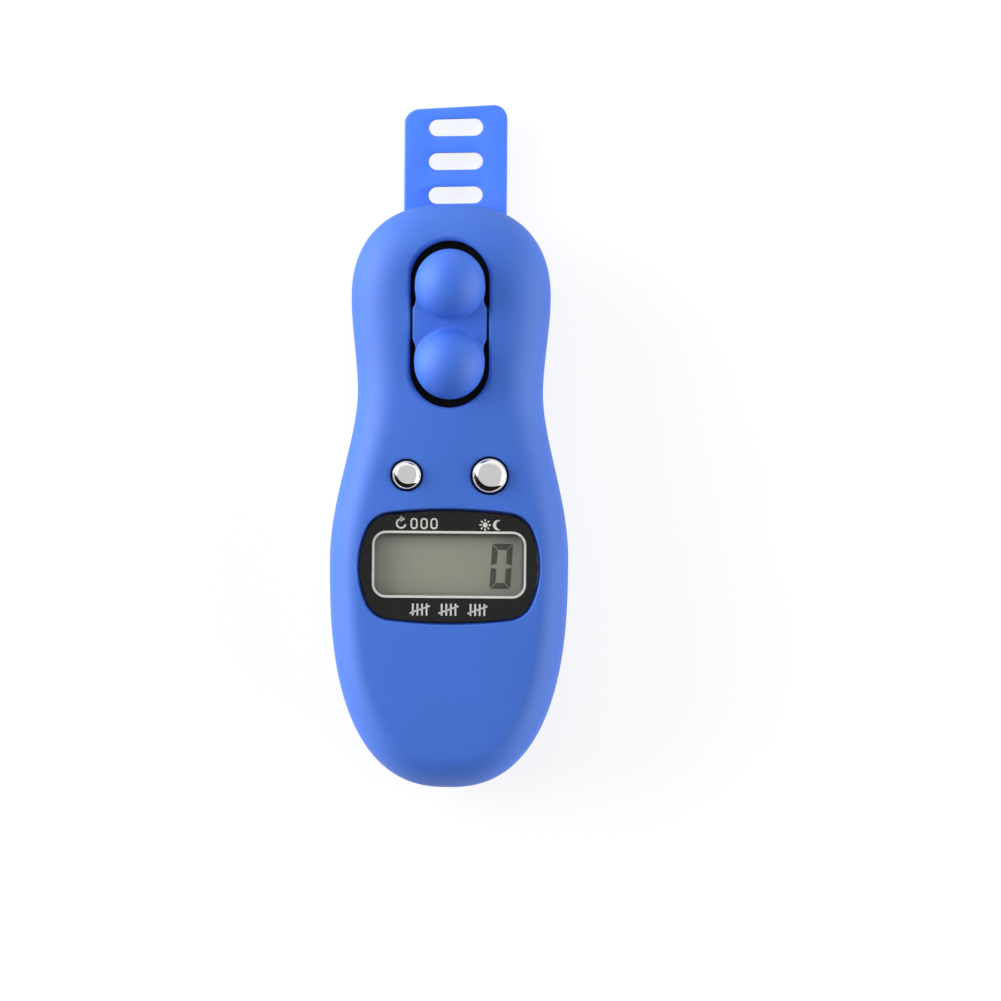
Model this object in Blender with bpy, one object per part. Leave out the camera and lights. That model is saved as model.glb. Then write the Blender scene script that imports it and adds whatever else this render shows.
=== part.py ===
"""Digital tally counter with a sliding thumb piece shaped as two beads.

The counter lies on its back: +X to the right of its face, +Y towards the bead end, +Z out of the face.
The origin is on the flat back, on the strip between the battery door and the channel of the finger band.
All lengths are in metres.
"""

import math

import bmesh
import bpy
from mathutils import Vector

# Outline of the body, as seen from the front: it is 79.0 mm long and 32.3 mm wide round what it holds
HEAD_MARGIN = 0.00485
OPENING_TO_BUTTONS = 0.00922
BUTTONS_TO_LENS = 0.00463
HEEL = 0.0222
HEAD_SIDE_MARGIN = 0.0031
WAIST_NARROWING = 0.0019
LENS_SIDE_MARGIN = 0.00395
DOOR_SIDE_MARGIN = 0.0048
HEAD_SHARE = 0.681
WAIST_SHARE = 0.350
BULGE_SHARE = -0.216
BULGE_EASE = 0.91
TOP_POWERS = (2.2, 2.5)
BOTTOM_POWERS = (2.6, 2.43)
OUTLINE_POINTS = 52

# Case halves
WALL = 0.0015
CROWN = 0.0004
FRONT_EDGE_BULGE_SHARE = 0.2972
FRONT_EDGE_HEAD_SHARE = 0.5037
REAR_EDGE_WIDTH = 0.0040
SPLIT_SHARE = 0.433
FRONT_EDGE_HEIGHT_SHARE = 0.72
REAR_EDGE_HEIGHT_SHARE = 0.70
SPINE_TOP_SHARE = 0.60
SPINE_BOTTOM_SHARE = -0.62
SEAM_GAP = 0.0002
LIP_HEIGHT = 0.0009
LIP_THICKNESS = 0.0006
LIP_CLEARANCE = 0.0001
EDGE_STEPS = 5
INNER_EDGE_STEPS = 3
EDGE_END_SHARE = 0.93
CROWN_SHARES = (0.55, 0.0)

# General clearances
CLEARANCE = 0.0003
TIGHT = 0.0001
OVERRUN = 0.0030
WELD = 0.000001

# Battery and its door
CELL_DIAMETER = 0.0200
CELL_THICKNESS = 0.0032
CELL_EDGE = 0.0004
CUP_WALL = 0.0014
CUP_ROOF = 0.0010
CONTACT_ROOM = 0.0009
DOOR_SINK = 0.0001
DOOR_THICKNESS = 0.0012
DOOR_MARGIN = 0.0009
DOOR_TO_HEEL = 0.0108
DOOR_LEDGE = 0.0012
DOOR_CORNER_TOP = 0.0045
DOOR_CORNER_BOTTOM = 0.0080
DOOR_TAB_WIDTH = 0.0030
DOOR_TAB_X_SHARE = 0.53
DOOR_TAB_REACH = 0.0010
DOOR_TAB_ROOT = 0.0011
DOOR_TAB_THICKNESS = 0.0007
CONTACT_THICKNESS = 0.0002
CONTACT_WIDTH = 0.0030
CONTACT_TOUCH_SHARE = 0.25
CONTACT_LEG_INSET = 0.0017

# Circuit board and what stands on it
BOARD_THICKNESS = 0.0010
BOARD_GAP = 0.0005
BOARD_INSET = 0.0022
BOARD_TOP_SHARE = 0.78
BOARD_BOTTOM_SHARE = -0.76
GUIDE_THICKNESS = 0.0014
LCD_THICKNESS = 0.0018
LCD_BORDER_X = 0.0012
LCD_BORDER_Y = 0.0014
HOLDER_WALL = 0.0008
HOLDER_GRIP = 0.0009
ZEBRA_WIDTH = 0.0016
LED_LENGTH = 0.0020
LED_WIDTH = 0.0012
LED_HEIGHT = 0.0010
CHIP_RADIUS = 0.0034
CHIP_HEIGHT = 0.0012
CHIP_DOME_SHARES = ((1.0, 0.0), (0.9, 0.45), (0.6, 0.85), (0.25, 1.0))
CHIP_MARGIN = 0.0019
SMALL_PART_LENGTH = 0.0020
SMALL_PART_WIDTH = 0.00125
SMALL_PART_HEIGHT = 0.0008
SMALL_PART_X = 0.0065

# Lens of the display
LENS_WIDTH = 0.0244
LENS_HEIGHT = 0.0154
LENS_CORNER_TOP = 0.0036
LENS_CORNER_BOTTOM = 0.0043
LENS_SIDE_BOW = 0.0009
LENS_TOP_BOW = 0.0008
LENS_THICKNESS = 0.0012
LENS_SINK = 0.0003
LENS_GAP = 0.0002
LENS_CHAMFER = 0.0003
GLUE_LINE = 0.0002
SEAT_THICKNESS = 0.0010
SEAT_WALL = 0.0012
LENS_BORDER_X = 0.0019
LENS_BORDER_Y = 0.0033
WINDOW_CORNER = 0.0015
SEAT_MARGIN = 0.0006

# Bead slider
BEAD_DIAMETER = 0.0096
BEAD_PITCH = 0.0110
BEAD_TRAVEL = 0.0009
PLATE_WIDTH = 0.0100
PLATE_SINK = 0.0008
PLATE_CHAMFER = 0.0003
OPENING_SIDE_GAP = 0.00033
BEAD_END_CLEARANCE = 0.00015
OPENING_ROLL = 0.0010
COLLAR_WALL = 0.0012
COLLAR_DEPTH = 0.0021
FLANGE_WIDTH = 0.0132
FLANGE_THICKNESS = 0.0014
BEAD_BORE_DIAMETER = 0.0072
BEAD_BORE_RISE = 0.0012
RETAINER_THICKNESS = 0.0012
RETAINER_WIDTH = 0.0144
RETAINER_INSET = 0.0031
RETAINER_OVERHANG = 0.0018
RETAINER_SCREW_X = 0.0055
RETAINER_SCREW_Y = 0.0112
LUG_THICKNESS = 0.0010
LUG_WIDTH = 0.0024
LUG_HEIGHT = 0.0024
LUG_Y = 0.0064
SPRING_DIAMETER = 0.0021
SPRING_WIRE = 0.0003
SPRING_TURNS = 5
SPRING_POINTS = 9
WIPER_WIDTH = 0.0024
WIPER_THICKNESS = 0.0002
WIPER_FOOT = 0.0034
WIPER_REACH = 0.0020
WIPER_TOE_SHARES = (0.75, 0.95)
WIPER_WINDOW_WIDTH = 0.0040
WIPER_WINDOW_LENGTH = 0.0096

# Push buttons: reset on the left, light on the right
RESET_DIAMETER = 0.0038
LIGHT_DIAMETER = 0.0046
BUTTON_GAP = 0.0003
RESET_X = -0.0058
LIGHT_X = 0.0054
BUTTON_RISE_SHARE = 0.26
BUTTON_LIP = 0.0010
BUTTON_FLANGE_THICKNESS = 0.0008
BUTTON_TRAVEL = 0.0005
STEM_RADIUS = 0.0011
SWITCH_SIZE = 0.0045
SWITCH_HEIGHT = 0.0020
PLUNGER_RADIUS = 0.0010
PLUNGER_RISE = 0.0009
PLUNGER_SINK = 0.0006

# Finger band and its channel
BAND_WIDTH = 0.0140
BAND_THICKNESS = 0.00125
BAND_TAIL = 0.0134
BAND_CORNER = 0.0020
BAND_SHIFT = 0.00045
BAND_SIDE_CLEARANCE = 0.0007
BAND_END_LEAN = 0.062
BAND_SLOT_LEAN = 0.023
BAND_ROOT_Y = 0.0035
BAND_BULB_WIDTH = 0.0030
BAND_BULB_HEIGHT = 0.0017
SLOT_LENGTH = 0.0073
SLOT_WIDTH = 0.0023
SLOT_PITCH = 0.0046
SLOT_COUNT = 8
SLOT_MARGIN = 0.0028
PEG_SLOT = 4
PEG_LENGTH = 0.0058
PEG_WIDTH = 0.0016
CHANNEL_WALL = 0.0012
CHANNEL_ROOF = 0.0014
BRIDGE_THICKNESS = 0.0012
BRIDGE_WIDTH = 0.0020

# Screws and the posts they go into
SCREW_RADIUS = 0.00085
SCREW_HEAD_RADIUS = 0.00155
SCREW_HEAD_THICKNESS = 0.0010
SCREW_TIP = 0.0006
SCREW_TIP_SHARE = 0.5
SCREW_HEAD_TOP_SHARE = 0.72
SCREW_HEAD_EDGE_SHARE = 0.45
CROSS_LENGTH = 0.0018
CROSS_WIDTH = 0.0004
CROSS_DEPTH = 0.0005
PILOT_CLEARANCE = 0.00012
HOLE_CLEARANCE = 0.0003
HEAD_CLEARANCE = 0.00025
POST_RADIUS = 0.0020
POST_OVERLAP = 0.0005
BOARD_POST_RADIUS = 0.0017
RETAINER_POST_RADIUS = 0.0015
CASE_SCREW_FLOOR = 0.0030
CASE_SCREW_LENGTH = 0.0078
BOARD_SCREW_LENGTH = 0.0042
RETAINER_SCREW_LENGTH = 0.0030
DOOR_SCREW_LENGTH = 0.0042
DOOR_SCREW_HEAD_THICKNESS = 0.0007
UPPER_SCREW_Y_SHARE = 0.610
LOWER_SCREW_INSET = 0.0075
LOWER_SCREW_X_SHARE = 0.433
BOARD_SCREW_BELOW_BUTTONS = 0.0020
BOARD_SCREW_BELOW_HOLDER = 0.0078
BOARD_POST_MARGIN = 0.0006

# Facets
ROUND_POINTS = 20
SCREW_POINTS = 10
SPHERE_STEPS = 6
DOME_STEPS = 4
CORNER_STEPS = 5
SIDE_STEPS = 4
SLOT_STEPS = 3
ROLL_STEPS = 4
SMOOTH_ANGLE = math.radians(32)
MITRE_SHARE = 0.3

MIDDLE = Vector((0, 0))


# Heights of the stacked pieces, from the back to the face
door_low = DOOR_SINK
door_high = door_low + DOOR_THICKNESS
cell_low = door_high + CLEARANCE
cell_high = cell_low + CELL_THICKNESS
cup_ceiling = cell_high + CONTACT_ROOM
cup_top = cup_ceiling + CUP_ROOF
board_low = cup_top + BOARD_GAP
board_high = board_low + BOARD_THICKNESS
guide_low = board_high + CLEARANCE
guide_high = guide_low + GUIDE_THICKNESS
lcd_low = guide_high + CLEARANCE
lcd_high = lcd_low + LCD_THICKNESS
seat_low = lcd_high + CLEARANCE
seat_high = seat_low + SEAT_THICKNESS
lens_low = seat_high + GLUE_LINE
lens_high = lens_low + LENS_THICKNESS
body_depth = lens_high + LENS_SINK
split = body_depth * SPLIT_SHARE
plate_high = body_depth - PLATE_SINK
collar_low = body_depth - COLLAR_DEPTH
flange_high = collar_low - CLEARANCE
flange_low = flange_high - FLANGE_THICKNESS
retainer_high = flange_low - CLEARANCE
retainer_low = retainer_high - RETAINER_THICKNESS
band_low = BRIDGE_THICKNESS + CLEARANCE
band_high = band_low + BAND_THICKNESS
channel_high = band_high + CLEARANCE
channel_top = channel_high + CHANNEL_ROOF

# Openings and the display
opening_width = PLATE_WIDTH + 2 * OPENING_SIDE_GAP
opening_length = BEAD_PITCH + BEAD_DIAMETER + 2 * (BEAD_TRAVEL + BEAD_END_CLEARANCE)
window_width = LENS_WIDTH - 2 * LENS_BORDER_X
window_height = LENS_HEIGHT - 2 * LENS_BORDER_Y
lcd_width = window_width + 2 * LCD_BORDER_X
lcd_height = window_height + 2 * LCD_BORDER_Y
holder_height = lcd_height + 2 * (CLEARANCE + HOLDER_WALL)
well_radius = SCREW_HEAD_RADIUS + HEAD_CLEARANCE

# Places along the body, whose length is that of what lies on its face
body_length = HEAD_MARGIN + opening_length + OPENING_TO_BUTTONS + BUTTONS_TO_LENS + LENS_HEIGHT + HEEL
half_length = body_length / 2
bead_y = half_length - HEAD_MARGIN - opening_length / 2
button_y = bead_y - opening_length / 2 - OPENING_TO_BUTTONS
lens_y = button_y - BUTTONS_TO_LENS - LENS_HEIGHT / 2
chip_y = lens_y - holder_height / 2 - CHIP_MARGIN - CHIP_RADIUS
cell_bore = CELL_DIAMETER / 2 + CLEARANCE
cup_radius = cell_bore + CUP_WALL
door_half_width = cell_bore + DOOR_MARGIN
door_bottom = DOOR_TO_HEEL - half_length
door_screw_y = door_bottom + DOOR_MARGIN + well_radius
cell_y = door_screw_y + well_radius + DOOR_MARGIN + cell_bore
door_top = cell_y + door_half_width
channel_half_width = BAND_WIDTH / 2 + BAND_SIDE_CLEARANCE
channel_bottom = BAND_ROOT_Y - 2 * CLEARANCE
band_end = half_length + BAND_TAIL
peg_y = band_end - SLOT_MARGIN - PEG_SLOT * SLOT_PITCH
bridge_y = peg_y + SLOT_WIDTH / 2 + CLEARANCE

# Widths of the body round its screws, its display and its battery door
upper_screw_x = channel_half_width + CHANNEL_WALL + POST_RADIUS - POST_OVERLAP
head_width = 2 * (upper_screw_x + HEAD_SIDE_MARGIN)
waist_width = head_width - WAIST_NARROWING
bulge_width = 2 * max(LENS_WIDTH / 2 + LENS_SIDE_MARGIN, door_half_width + DOOR_SIDE_MARGIN)


def smoothstep(t):
    """0 to 1 with level ends."""
    t = min(max(t, 0.0), 1.0)
    return t * t * (3.0 - 2.0 * t)


def mixed(low, high, t):
    return low + (high - low) * t


def rounding(t, powers):
    """How much of its width a rounded end still has, t of the way to its tip."""
    inner, outer = powers
    return max(0.0, 1.0 - max(t, 0.0) ** inner) ** (1.0 / outer)


def half_width(y):
    """Half the body's width at y."""
    share = min(max(y / half_length, -1.0), 1.0)
    if share > WAIST_SHARE:
        rise = smoothstep((share - WAIST_SHARE) / (HEAD_SHARE - WAIST_SHARE))
        width = mixed(waist_width, head_width, rise)
        width *= rounding((share - HEAD_SHARE) / (1.0 - HEAD_SHARE), TOP_POWERS)
    else:
        way = min((WAIST_SHARE - share) / (WAIST_SHARE - BULGE_SHARE), 1.0)
        width = mixed(waist_width, bulge_width, smoothstep(way**BULGE_EASE))
        width *= rounding((BULGE_SHARE - share) / (1.0 + BULGE_SHARE), BOTTOM_POWERS)
    return width / 2


def outline_point(turn):
    """The body's outline, for an angle that runs once round it from +X."""
    y = half_length * math.sin(turn)
    return Vector((math.copysign(half_width(y), math.cos(turn)), y))


def outline_rim():
    """Points of the body's outline with their outward normals."""
    rim = []
    step = 2 * math.pi / OUTLINE_POINTS
    for index in range(OUTLINE_POINTS):
        turn = index * step
        along = outline_point(turn + step / 2) - outline_point(turn - step / 2)
        rim.append((outline_point(turn), Vector((along.y, -along.x)).normalized()))
    return rim


RIM = outline_rim()


def body_outline(inset):
    return [point - normal * inset for point, normal in RIM]


def front_edge_width(y):
    rise = smoothstep((y / half_length - BULGE_SHARE) / (HEAD_SHARE - BULGE_SHARE))
    return mixed(bulge_width * FRONT_EDGE_BULGE_SHARE, head_width * FRONT_EDGE_HEAD_SHARE, rise) / 2


def front_rings(inset, base):
    """Rings of the front half's skin from its open edge up, with its crowned face drawn in to a spine."""
    edge_height = (body_depth - split) * FRONT_EDGE_HEIGHT_SHARE
    shoulder = body_depth - CROWN - edge_height
    rings = [[(*point, base) for point in body_outline(inset)]]
    steps = INNER_EDGE_STEPS if inset else EDGE_STEPS
    for step in range(steps + 1):
        turn = math.pi / 2 * EDGE_END_SHARE * step / steps
        height = shoulder + (edge_height - inset) * math.sin(turn)
        ring = []
        for point, normal in RIM:
            width = front_edge_width(point.y)
            offset = width - (width - inset) * math.cos(turn)
            ring.append((*(point - normal * offset), height))
        rings.append(ring)
    edge = rings[-1]
    for share in CROWN_SHARES:
        ring = []
        for x, y, z in edge:
            spine = min(max(y, half_length * SPINE_BOTTOM_SHARE), half_length * SPINE_TOP_SHARE)
            height = mixed(body_depth - inset, z, share * share)
            ring.append((x * share, mixed(spine, y, share), height))
        rings.append(ring)
    return rings


def rear_rings(inset, base):
    """Rings of the rear half's skin from its open edge down to the flat back."""
    edge_height = split * REAR_EDGE_HEIGHT_SHARE
    rings = [[(*point, base) for point in body_outline(inset)]]
    steps = INNER_EDGE_STEPS if inset else EDGE_STEPS
    for step in range(steps + 1):
        turn = math.pi / 2 * step / steps
        offset = REAR_EDGE_WIDTH - (REAR_EDGE_WIDTH - inset) * math.cos(turn)
        height = edge_height - (edge_height - inset) * math.sin(turn)
        rings.append([(*(point - normal * offset), height) for point, normal in RIM])
    return rings


def rounded_outline(
    width, height, corner_top, corner_bottom, side_bow=0.0, end_bow=0.0, centre=MIDDLE, steps=CORNER_STEPS
):
    """A rectangle with round corners, whose sides may bow outwards."""
    points = []
    for sign, corner in ((1, corner_top), (-1, corner_bottom)):
        corner_x = width / 2 - corner - side_bow
        corner_y = height / 2 - corner - end_bow
        side = bow_points((corner_x + side_bow, 0), (corner_x, corner_y), side_bow, corner_y, (1, 0))
        end = bow_points((0, corner_y + end_bow), (corner_x, corner_y), end_bow, corner_x, (0, 1))
        quarter = side + corner_arc(side[-1][1], end[-1][1], (corner_x, corner_y), steps) + end[::-1]
        loop = [(x + nx * corner, (y + ny * corner) * sign) for (x, y), (nx, ny) in quarter]
        half = loop + [(-x, y) for x, y in loop[::-1]]
        points += half if sign > 0 else half[::-1]
    outline = []
    for x, y in points:
        point = Vector((x + centre[0], y + centre[1]))
        if not outline or (point - outline[-1]).length > WELD:
            outline.append(point)
    if (outline[0] - outline[-1]).length <= WELD:
        outline.pop()
    return outline


def bow_points(middle, end, bow, reach, outward):
    """Points with normals along a shallow arc, from the middle of a side to its end."""
    if bow <= 0.0 or reach <= 0.0:
        return [(middle, outward), (end, outward)]
    radius = (reach * reach + bow * bow) / (2 * bow)
    spread = math.asin(min(1.0, reach / radius))
    points = []
    for step in range(SIDE_STEPS + 1):
        turn = spread * step / SIDE_STEPS
        across = (outward[1], outward[0])
        normal = [outward[i] * math.cos(turn) + across[i] * math.sin(turn) for i in range(2)]
        points.append(([middle[i] + (normal[i] - outward[i]) * radius for i in range(2)], normal))
    return points


def corner_arc(first, last, centre, steps):
    start = math.atan2(first[1], first[0])
    stop = math.atan2(last[1], last[0])
    points = []
    for step in range(1, steps):
        turn = mixed(start, stop, step / steps)
        points.append((centre, (math.cos(turn), math.sin(turn))))
    return points


def stadium(width, length, centre, steps=CORNER_STEPS):
    return rounded_outline(width, length, width / 2, width / 2, centre=centre, steps=steps)


def rectangle(width, height, centre=MIDDLE):
    x, y = width / 2, height / 2
    return [(centre[0] + a * x, centre[1] + b * y) for a, b in ((-1, -1), (1, -1), (1, 1), (-1, 1))]


def strip(path, thickness):
    """A closed outline of even thickness along a path."""
    left, right = [], []
    path = [Vector(point) for point in path]
    for index, point in enumerate(path):
        before = (point - path[index - 1]).normalized() if index else (path[1] - point).normalized()
        after = (path[index + 1] - point).normalized() if index + 1 < len(path) else before
        across = before + after
        across = Vector((-across.y, across.x)).normalized()
        reach = thickness / 2 / max(MITRE_SHARE, across.dot(Vector((-before.y, before.x))))
        left.append(point + across * reach)
        right.append(point - across * reach)
    return right + left[::-1]


def placed(u, v, w, order):
    """A point from its outline coordinates u and v and its height w along the axis named last in order."""
    values = dict(zip(order, (u, v, w)))
    return (values["x"], values["y"], values["z"])


def add_rings(bm, rings):
    """Skins closed rings of equal length in turn, and closes both ends."""
    rows = [[bm.verts.new(point) for point in ring] for ring in rings]
    count = len(rows[0])
    for low, high in zip(rows, rows[1:]):
        for index in range(count):
            after = (index + 1) % count
            bm.faces.new((low[index], low[after], high[after], high[index]))
    bm.faces.new(rows[0][::-1])
    bm.faces.new(rows[-1])
    return rows


def add_prism(bm, outline, low, high, order="xyz"):
    add_rings(bm, [[placed(u, v, w, order) for u, v in outline] for w in (low, high)])


def add_box(bm, centre, size, low, high):
    add_prism(bm, rectangle(size[0], size[1], centre), low, high)


def add_turned(bm, profile, centre, points=ROUND_POINTS):
    """Turns a profile of radii and heights, listed bottom to top, about an upright axis."""
    rings = []
    for radius, height in profile:
        ring = []
        for index in range(points):
            turn = 2 * math.pi * (index + 0.5) / points
            x = centre[0] + radius * math.cos(turn)
            y = centre[1] + radius * math.sin(turn)
            ring.append((x, y, height))
        rings.append(ring)
    add_rings(bm, rings)


def add_cylinder(bm, centre, radius, low, high, points=ROUND_POINTS):
    add_turned(bm, ((radius, low), (radius, high)), centre, points)


def closed_up(bm):
    """Joins points that fell together, where a profile meets its axis, and turns the faces outwards."""
    bmesh.ops.remove_doubles(bm, verts=bm.verts, dist=WELD)
    loose = [face for face in bm.faces if face.calc_area() < WELD * WELD]
    bmesh.ops.delete(bm, geom=loose, context="FACES_ONLY")
    bmesh.ops.recalc_face_normals(bm, faces=bm.faces)


def finish(name, colour, roughness, metallic=0.0):
    made = bpy.data.materials.new(name)
    made.use_nodes = True
    shader = made.node_tree.nodes["Principled BSDF"]
    shader.inputs["Base Color"].default_value = (*colour, 1.0)
    shader.inputs["Roughness"].default_value = roughness
    shader.inputs["Metallic"].default_value = metallic
    made.diffuse_color = (*colour, 1.0)
    return made


FINISHES = {}


def make_finishes():
    FINISHES.update(
        case=finish("soft_touch_blue", (0.053, 0.141, 0.571), 0.45),
        bead=finish("bead_blue", (0.053, 0.150, 0.600), 0.40),
        band=finish("silicone_blue", (0.106, 0.247, 0.930), 0.50),
        chrome=finish("chrome_plate", (0.80, 0.80, 0.82), 0.08, 1.0),
        lens=finish("black_lens", (0.010, 0.010, 0.011), 0.10),
        lcd=finish("lcd_glass", (0.245, 0.245, 0.195), 0.20),
        white=finish("white_plastic", (0.75, 0.75, 0.72), 0.40),
        clear=finish("clear_acrylic", (0.70, 0.78, 0.80), 0.10),
        black=finish("black_plastic", (0.015, 0.015, 0.016), 0.45),
        board=finish("green_board", (0.020, 0.140, 0.050), 0.50),
        rubber=finish("conductive_rubber", (0.040, 0.040, 0.045), 0.70),
        steel=finish("zinc_plated_steel", (0.55, 0.55, 0.56), 0.30, 1.0),
        bronze=finish("spring_bronze", (0.60, 0.42, 0.20), 0.30, 1.0),
    )


def piece(name, bm, look=None, origin=(0, 0, 0)):
    """Makes the object of a piece, or of a helper that only shapes others when it has no look."""
    closed_up(bm)
    origin = Vector(origin)
    bmesh.ops.translate(bm, verts=bm.verts, vec=-origin)
    mesh = bpy.data.meshes.new(name)
    bm.to_mesh(mesh)
    bm.free()
    mesh.shade_smooth()
    mesh.set_sharp_from_angle(angle=SMOOTH_ANGLE)
    made = bpy.data.objects.new(name, mesh)
    made.location = origin
    bpy.context.scene.collection.objects.link(made)
    if look:
        mesh.materials.append(FINISHES[look])
    else:
        made.hide_render = True
        made.display_type = "WIRE"
    return made


def combine(target, other, operation):
    modifier = target.modifiers.new(other.name, "BOOLEAN")
    modifier.operation = operation
    modifier.solver = "EXACT"
    modifier.object = other


def helper(name, add, *shapes):
    """A hidden shape made of separate bodies, each given as the arguments of add."""
    bm = bmesh.new()
    for shape in shapes:
        add(bm, *shape)
    return piece(name, bm)


def skin_helper(name, rings):
    bm = bmesh.new()
    add_rings(bm, rings)
    return piece(name, bm)


# Places of the screws


def case_screw_places():
    lower_x = bulge_width / 2 * LOWER_SCREW_X_SHARE
    upper_y = half_length * UPPER_SCREW_Y_SHARE
    lower_y = LOWER_SCREW_INSET - half_length
    return [
        (-upper_screw_x, upper_y),
        (upper_screw_x, upper_y),
        (-lower_x, lower_y),
        (lower_x, lower_y),
    ]


def board_screw_places():
    upper_y = button_y - BOARD_SCREW_BELOW_BUTTONS
    lower_y = lens_y - holder_height / 2 - BOARD_SCREW_BELOW_HOLDER
    inset = WALL + BOARD_POST_RADIUS + BOARD_POST_MARGIN
    return [(inset - half_width(upper_y), upper_y), (half_width(lower_y) - inset, lower_y)]


def retainer_screw_places():
    return [
        (x * RETAINER_SCREW_X, bead_y + y * RETAINER_SCREW_Y)
        for x, y in ((-1, 1), (1, 1), (-1, -1), (1, -1))
    ]


def make_screw(name, place, seat, length, head_thickness=SCREW_HEAD_THICKNESS):
    """A pan head screw driven upwards, with the underside of its head at seat and a cross recess."""
    head = seat - head_thickness
    tip = seat + length
    profile = (
        (0, head),
        (SCREW_HEAD_RADIUS * SCREW_HEAD_TOP_SHARE, head),
        (SCREW_HEAD_RADIUS, mixed(head, seat, SCREW_HEAD_EDGE_SHARE)),
        (SCREW_HEAD_RADIUS, seat),
        (SCREW_RADIUS, seat),
        (SCREW_RADIUS, tip - SCREW_TIP),
        (SCREW_RADIUS * SCREW_TIP_SHARE, tip),
        (0, tip),
    )
    bm = bmesh.new()
    add_turned(bm, profile, place, SCREW_POINTS)
    screw = piece(name, bm, "steel")
    arm, half = CROSS_LENGTH / 2, CROSS_WIDTH / 2
    corner = [(arm, -half), (arm, half), (half, half), (half, arm)]
    outline = []
    for turn in range(4):
        for x, y in corner[:3]:
            for _ in range(turn):
                x, y = -y, x
            outline.append((x + place[0], y + place[1]))
    cross = helper(name + "_cross", add_prism, (outline, head - OVERRUN, head + CROSS_DEPTH))
    combine(screw, cross, "DIFFERENCE")
    return screw


# Case halves


def opening_cutter():
    """The bead opening, which rolls outwards where it meets the face."""
    centre = (0, bead_y)
    roll_low = body_depth - OPENING_ROLL - CROWN
    levels = [(0, collar_low - OVERRUN), (0, roll_low)]
    for step in range(1, ROLL_STEPS):
        turn = math.pi / 2 * step / ROLL_STEPS
        levels.append((OPENING_ROLL * (1 - math.cos(turn)), roll_low + OPENING_ROLL * math.sin(turn)))
    levels.append((OPENING_ROLL, body_depth))
    levels.append((OPENING_ROLL, body_depth + OVERRUN))
    rings = []
    for grow, height in levels:
        outline = stadium(opening_width + 2 * grow, opening_length + 2 * grow, centre)
        rings.append([(*point, height) for point in outline])
    return skin_helper("bead_opening", rings)


def lens_outline(grow):
    return rounded_outline(
        LENS_WIDTH + 2 * grow,
        LENS_HEIGHT + 2 * grow,
        LENS_CORNER_TOP + grow,
        LENS_CORNER_BOTTOM + grow,
        LENS_SIDE_BOW,
        LENS_TOP_BOW,
        (0, lens_y),
    )


def lip_ring(name, outer, inner, low, high):
    """A ring that follows the body's outline, between two insets."""
    ring = helper(name, add_prism, (body_outline(outer), low, high))
    core = helper(name + "_core", add_prism, (body_outline(inner), low - OVERRUN, high + OVERRUN))
    combine(ring, core, "DIFFERENCE")
    return ring


def make_front_shell():
    bm = bmesh.new()
    add_rings(bm, front_rings(0, split + SEAM_GAP / 2))
    shell = piece("front_shell", bm, "case")
    combine(shell, skin_helper("front_cavity", front_rings(WALL, split - OVERRUN)), "DIFFERENCE")
    limit = skin_helper("front_rib_limit", front_rings(WALL / 2, split - OVERRUN))
    above = body_depth + OVERRUN

    post_low = split + SEAM_GAP / 2
    board_post_low = board_high + TIGHT
    posts = helper(
        "front_posts",
        add_cylinder,
        *[(place, POST_RADIUS, post_low, above) for place in case_screw_places()],
        *[(place, BOARD_POST_RADIUS, board_post_low, above) for place in board_screw_places()],
    )
    collar = stadium(opening_width + 2 * COLLAR_WALL, opening_length + 2 * COLLAR_WALL, (0, bead_y))
    frames = helper(
        "front_frames",
        add_prism,
        (collar, collar_low, above),
        (lens_outline(SEAT_WALL), seat_low, above),
    )
    retainer_posts = helper(
        "retainer_posts",
        add_cylinder,
        *[
            (place, RETAINER_POST_RADIUS, retainer_high + TIGHT, above)
            for place in retainer_screw_places()
        ],
    )
    for ribs in (retainer_posts, posts, frames):
        combine(ribs, limit, "INTERSECT")
        combine(shell, ribs, "UNION")

    combine(shell, opening_cutter(), "DIFFERENCE")
    recess = helper("lens_recess", add_prism, (lens_outline(LENS_GAP), seat_high, above))
    combine(shell, recess, "DIFFERENCE")
    window = rounded_outline(
        window_width + 2 * SEAT_MARGIN,
        window_height + 2 * SEAT_MARGIN,
        WINDOW_CORNER,
        WINDOW_CORNER,
        centre=(0, lens_y),
    )
    combine(shell, helper("display_window", add_prism, (window, seat_low - OVERRUN, above)), "DIFFERENCE")
    holes = [
        ((RESET_X, button_y), RESET_DIAMETER / 2 + BUTTON_GAP, retainer_low, above),
        ((LIGHT_X, button_y), LIGHT_DIAMETER / 2 + BUTTON_GAP, retainer_low, above),
    ]
    combine(shell, helper("button_holes", add_cylinder, *holes), "DIFFERENCE")
    pilot = SCREW_RADIUS + PILOT_CLEARANCE
    case_top = CASE_SCREW_FLOOR + CASE_SCREW_LENGTH + CLEARANCE
    board_top = board_low + BOARD_SCREW_LENGTH + CLEARANCE
    retainer_top = retainer_low + RETAINER_SCREW_LENGTH + CLEARANCE
    pilots = helper(
        "front_pilots",
        add_cylinder,
        *[(place, pilot, split - OVERRUN, case_top, SCREW_POINTS) for place in case_screw_places()],
        *[(place, pilot, split, board_top, SCREW_POINTS) for place in board_screw_places()],
        *[(place, pilot, split, retainer_top, SCREW_POINTS) for place in retainer_screw_places()],
    )
    combine(shell, pilots, "DIFFERENCE")
    rebate = lip_ring(
        "front_rebate",
        WALL - LIP_THICKNESS - LIP_CLEARANCE,
        WALL + LIP_CLEARANCE,
        split - OVERRUN,
        split + LIP_HEIGHT + LIP_CLEARANCE,
    )
    combine(shell, rebate, "DIFFERENCE")
    return shell


def door_outline(grow):
    """The door: its round-cornered top and its rounder bottom, about the cell and the door's screw."""
    return rounded_outline(
        2 * (door_half_width + grow),
        door_top - door_bottom + 2 * grow,
        DOOR_CORNER_TOP + grow,
        DOOR_CORNER_BOTTOM + grow,
        centre=(0, (door_top + door_bottom) / 2),
    )


def door_tab_places():
    return [side * door_half_width * DOOR_TAB_X_SHARE for side in (-1, 1)]


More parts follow.
